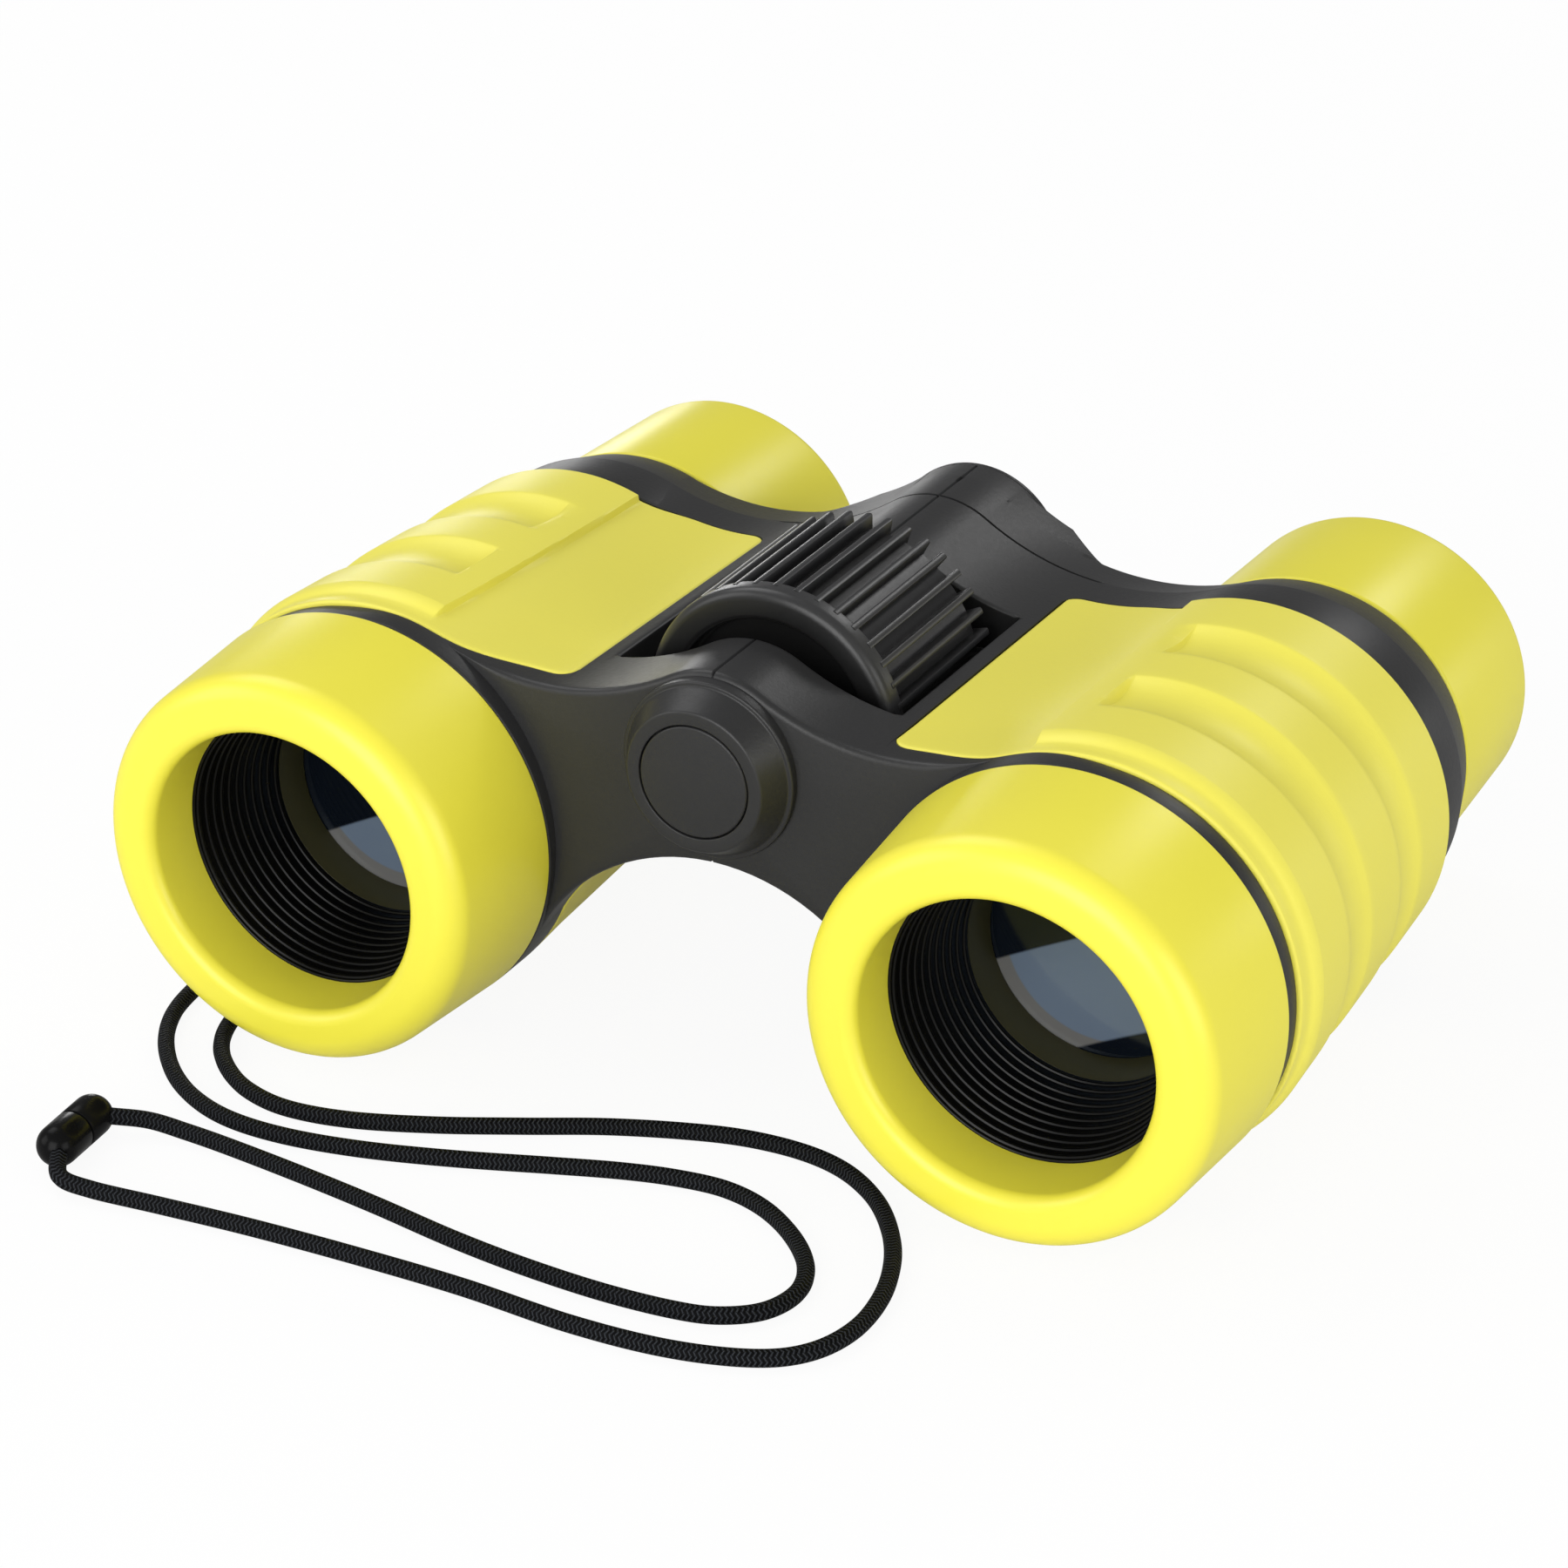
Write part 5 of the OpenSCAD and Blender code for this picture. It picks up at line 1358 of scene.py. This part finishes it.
class BINOCULARS_OT_eyepieces(bpy.types.Operator):
    """Makes the lemon eyecups, the eye lenses and their retainers"""

    bl_idname = "binoculars.eyepieces"
    bl_label = "Eyepieces"

    def execute(self, context):
        sizes = context.scene.binocular_optics
        wide_r, seat_r, mouth_r = cup_high[0] - half, tube_r + 0.03, 10.6
        cup = rounded([
            (seat_r, cup_low[1], 0), (wide_r, cup_low[1], 0.35), (wide_r - 0.55, cup_high[1], 1.2),
            (mouth_r, cup_high[1], 1.0), (mouth_r, tube_high[1], 0), (seat_r, tube_high[1], 0)], 10)
        lens_r, clear_r = eye_high[0] - half, 8.6
        edge_front, edge_rear, stop_y = eye_low[1] + sizes.eye_bulge, stop_low[1], stop_low[1] + 0.02
        bend = (clear_r ** 2 + sizes.eye_bulge ** 2) / (2 * sizes.eye_bulge)
        curve = [(x, sqrt(bend ** 2 - x ** 2) - bend + sizes.eye_bulge)
                 for x in np.linspace(0, clear_r, 18)]
        lens = [(x, edge_front - bulge) for x, bulge in curve] + [(lens_r, edge_front), (lens_r, edge_rear)]
        lens += [(x, edge_rear + bulge) for x, bulge in curve[::-1]]
        stop = rounded([
            (clear_r, stop_y, 0.1), (lens_r, stop_y, 0), (lens_r, stop_high[1], 0),
            (clear_r + 1.2, stop_high[1], 0.2)], 4)
        turned_pairs("carriage", 176, [
            (cup, "_lemon_eyecup", "lemon", "yellow_trim", "_eyecup"),
            (lens, "_eye_glass", "eye lens", "lens_glass", "_eye_lens"),
            (stop, "_eye_glass_retainer", "part black", "black_gloss", "_eye_retainer")])
        return {"FINISHED"}


def rib_bars():
    """Tree: round-edged bars that stand round an axis along Y."""
    tree, out, sockets = named_tree("Wheel ribs", {
        "Count": "Int", "Width": "Float", "Height": "Float", "Length": "Float", "Rounding": "Float",
        "Middle radius": "Float", "Start": "Float", "Axis height": "Float", "Finish": "Material"})
    section = grow(tree, "GeometryNodeCurvePrimitiveQuadrilateral", {
        "Width": out["Width"], "Height": out["Height"]})
    soft = grow(tree, "GeometryNodeFilletCurve", {
        "Curve": section, "Count": 2, "Radius": out["Rounding"]}, mode="POLY")
    face = grow(tree, "GeometryNodeFillCurve", {"Curve": soft}, mode="NGONS")
    way = grow(tree, "ShaderNodeCombineXYZ", {"Z": 1.0})
    bar = grow(tree, "GeometryNodeExtrudeMesh", {
        "Mesh": face, "Offset": way, "Offset Scale": out["Length"]}, mode="FACES")
    back = grow(tree, "GeometryNodeFlipFaces", {"Mesh": face})
    whole = grow(tree, "GeometryNodeJoinGeometry", {0: bar})
    tree.links.new(back, whole.node.inputs[0])
    shift = grow(tree, "ShaderNodeCombineXYZ", {"Y": out["Start"], "Z": out["Middle radius"]})
    laid = grow(tree, "GeometryNodeTransform", {
        "Geometry": whole, "Rotation": (-pi / 2, 0, 0), "Translation": shift})
    centre = grow(tree, "ShaderNodeCombineXYZ", {"Z": out["Axis height"]})
    line = grow(tree, "GeometryNodeMeshLine", {
        "Count": out["Count"], "Start Location": centre, "Offset": (0, 0, 0)})
    index = grow(tree, "GeometryNodeInputIndex")
    step = grow(tree, "ShaderNodeMath", {0: 2 * pi, 1: out["Count"]}, operation="DIVIDE")
    angle = grow(tree, "ShaderNodeMath", {0: index, 1: step}, operation="MULTIPLY")
    turn = grow(tree, "ShaderNodeCombineXYZ", {"Y": angle})
    placed = grow(tree, "GeometryNodeInstanceOnPoints", {"Points": line, "Instance": laid, "Rotation": turn})
    end_tree(tree, placed, out["Finish"])
    return tree, sockets


class BINOCULARS_OT_focus_wheel(bpy.types.Operator):
    """Makes the ribbed focus wheel"""

    bl_idname = "binoculars.focus_wheel"
    bl_label = "Focus wheel"

    def execute(self, context):
        sizes = context.scene.binocular_wheel
        wheel_r = wheel_high[0]
        hub_r, shaft_r, hub_end, flange_len, wall, rib_root = 4.5, 2.0, 1.5, 2.0, 1.6, 0.5
        hub_front, hub_rear = wheel_low[1], wheel_high[1]
        flange_y, rib_y, rib_end = hub_front + hub_end, hub_front + hub_end + flange_len, hub_rear - hub_end
        flange_r, root_r = wheel_r - sizes.flange_drop, wheel_r - sizes.rib_height
        dish_r = root_r - wall
        drum = rounded([
            (shaft_r, hub_front, 0), (hub_r, hub_front, 0.3), (hub_r, rib_y, 0.4), (dish_r, rib_y, 0.4),
            (dish_r, flange_y, 0.5), (flange_r, flange_y, 0.9), (flange_r, rib_y + 0.2, 0.3),
            (root_r, rib_y + 0.2, 0.1), (root_r, rib_end - 1.0, 0.0), (root_r - 1.0, rib_end, 0.1),
            (dish_r, rib_end, 0.1), (dish_r, rib_y + wall, 0.3), (hub_r, rib_y + wall, 0.3),
            (hub_r, hub_rear, 0.3), (shaft_r, hub_rear, 0)], 6)
        shape = Shape()
        shape.add(*lathe(drum, 0.0, focus_z, 152))
        tree, sockets = rib_bars()
        height = sizes.rib_height + rib_root
        shape.add(*run_tree(tree, sockets, {
            "Count": sizes.rib_count, "Width": sizes.rib_width * MM, "Height": height * MM,
            "Length": (rib_end - 0.3 - rib_y + rib_root) * MM, "Rounding": sizes.rib_round * MM,
            "Middle radius": (wheel_r - height / 2) * MM, "Start": (rib_y - rib_root) * MM,
            "Axis height": focus_z * MM, "Finish": finishes["wheel black"]}))
        shape.make("ribbed_focus_wheel", "wheel black", "wheel", "black_body", "focus_wheel")
        return {"FINISHED"}


class BINOCULARS_OT_boss_and_cap(bpy.types.Operator):
    """Makes the round boss with its disc on the front of the bridge, and the rear cap"""

    bl_idname = "binoculars.boss_and_cap"
    bl_label = "Boss and cap"

    def execute(self, context):
        base_r, disc_r, cap_r = boss_high[0], disc_high[0], cap_high[0]
        step_r, face_r, seat_r = base_r - 0.4, base_r - 1.6, disc_r + 0.12
        skirt_r, bore_r = 6.9, 6.9 - 1.3
        step_y, base_y, disc_y, cap_y = boss_y - 0.7, boss_y + 0.6, disc_high[1], cap_high[1]
        boss = rounded([
            (0, disc_y, 0), (seat_r, disc_y, 0), (seat_r, boss_low[1], 0.1), (face_r, boss_low[1], 0.3),
            (step_r, step_y, 0.2), (base_r, step_y, 0.2), (base_r, base_y, 0), (skirt_r, base_y, 0),
            (skirt_r, boss_high[1], 0.1), (bore_r, boss_high[1], 0.1), (bore_r, boss_y, 0),
            (0, boss_y, 0)], 6)
        disc = rounded([
            (0, disc_low[1], 0), (disc_r, disc_low[1], 0.18), (disc_r, disc_y, 0), (0, disc_y, 0)], 5)
        cap = rounded([
            (0, cap_y, 0), (cap_r - 0.8, cap_y, 0.4), (cap_r, cap_y - 0.8, 0.3), (cap_r, hump_y, 0.1),
            (skirt_r, hump_y, 0), (skirt_r, cap_low[1], 0.1), (bore_r, cap_low[1], 0.1), (bore_r, hump_y, 0),
            (0, hump_y, 0)], 6)
        for outline, name, node in (
            (boss, "round_boss", "front_boss"), (disc, "boss_face_disc", "boss_disc"),
            (cap, "hump_rear_cap", "rear_cap"),
        ):
            shape = Shape()
            shape.add(*lathe(outline, 0.0, focus_z, 128))
            shape.make(name, "body black", "body", "black_body", node)
        return {"FINISHED"}


class BINOCULARS_OT_inner_parts(bpy.types.Operator):
    """Gives the parts that keep their CAD shape their finishes"""

    bl_idname = "binoculars.inner_parts"
    bl_label = "Inner parts"

    def execute(self, context):
        for finish, nodes in (
            ("body black", ("bridge_cover",)),
            # The deep black paints shade on the parts that sit inside
            ("deep black", ("left_lens_cell", "right_lens_cell", "focus_yoke")),
            ("gloss black", ("left_eyepiece_tube", "right_eyepiece_tube")),
            ("steel", ("cover_screws", "focus_shaft")),
            ("brass", ("front_bush", "rear_bush", "focus_nut")),
        ):
            for name in nodes:
                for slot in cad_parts[name].material_slots:
                    slot.material = finishes[finish]
        return {"FINISHED"}


class BINOCULARS_PT_pieces(bpy.types.Panel):
    """Lists the pieces of the binoculars"""

    bl_idname = "BINOCULARS_PT_pieces"
    bl_label = "Binoculars"
    bl_space_type = "VIEW_3D"
    bl_region_type = "UI"
    bl_category = "Binoculars"

    def draw(self, context):
        for operator in operators:
            self.layout.operator(operator.bl_idname)
        for name in settings:
            group = getattr(context.scene, name)
            column = self.layout.column()
            for key in group.__annotations__:
                column.prop(group, key)


operators = (
    BINOCULARS_OT_studio, BINOCULARS_OT_neck_cord, BINOCULARS_OT_half_bodies, BINOCULARS_OT_grips,
    BINOCULARS_OT_front_rings, BINOCULARS_OT_hoods, BINOCULARS_OT_objectives, BINOCULARS_OT_eyepieces,
    BINOCULARS_OT_focus_wheel, BINOCULARS_OT_boss_and_cap, BINOCULARS_OT_inner_parts)
settings = {
    "binocular_body": BodySizes, "binocular_grips": GripSizes, "binocular_optics": OpticSizes,
    "binocular_wheel": WheelSizes, "binocular_cord": CordSizes, "binocular_colours": FinishColours,
    "binocular_studio": StudioSettings}


def register():
    for group in settings.values():
        bpy.utils.register_class(group)
    for name, group in settings.items():
        setattr(bpy.types.Scene, name, PointerProperty(type=group))
    for operator in (*operators, BINOCULARS_PT_pieces):
        bpy.utils.register_class(operator)


def unregister():
    for operator in (BINOCULARS_PT_pieces, *operators):
        bpy.utils.unregister_class(operator)
    for name, group in settings.items():
        delattr(bpy.types.Scene, name)
        bpy.utils.unregister_class(group)


def main():
    register()
    make_finishes(bpy.context)
    for operator in operators:
        getattr(bpy.ops.binoculars, operator.bl_idname.split(".")[1])()
    bpy.context.view_layer.update()


if __name__ == "__main__":
    main()
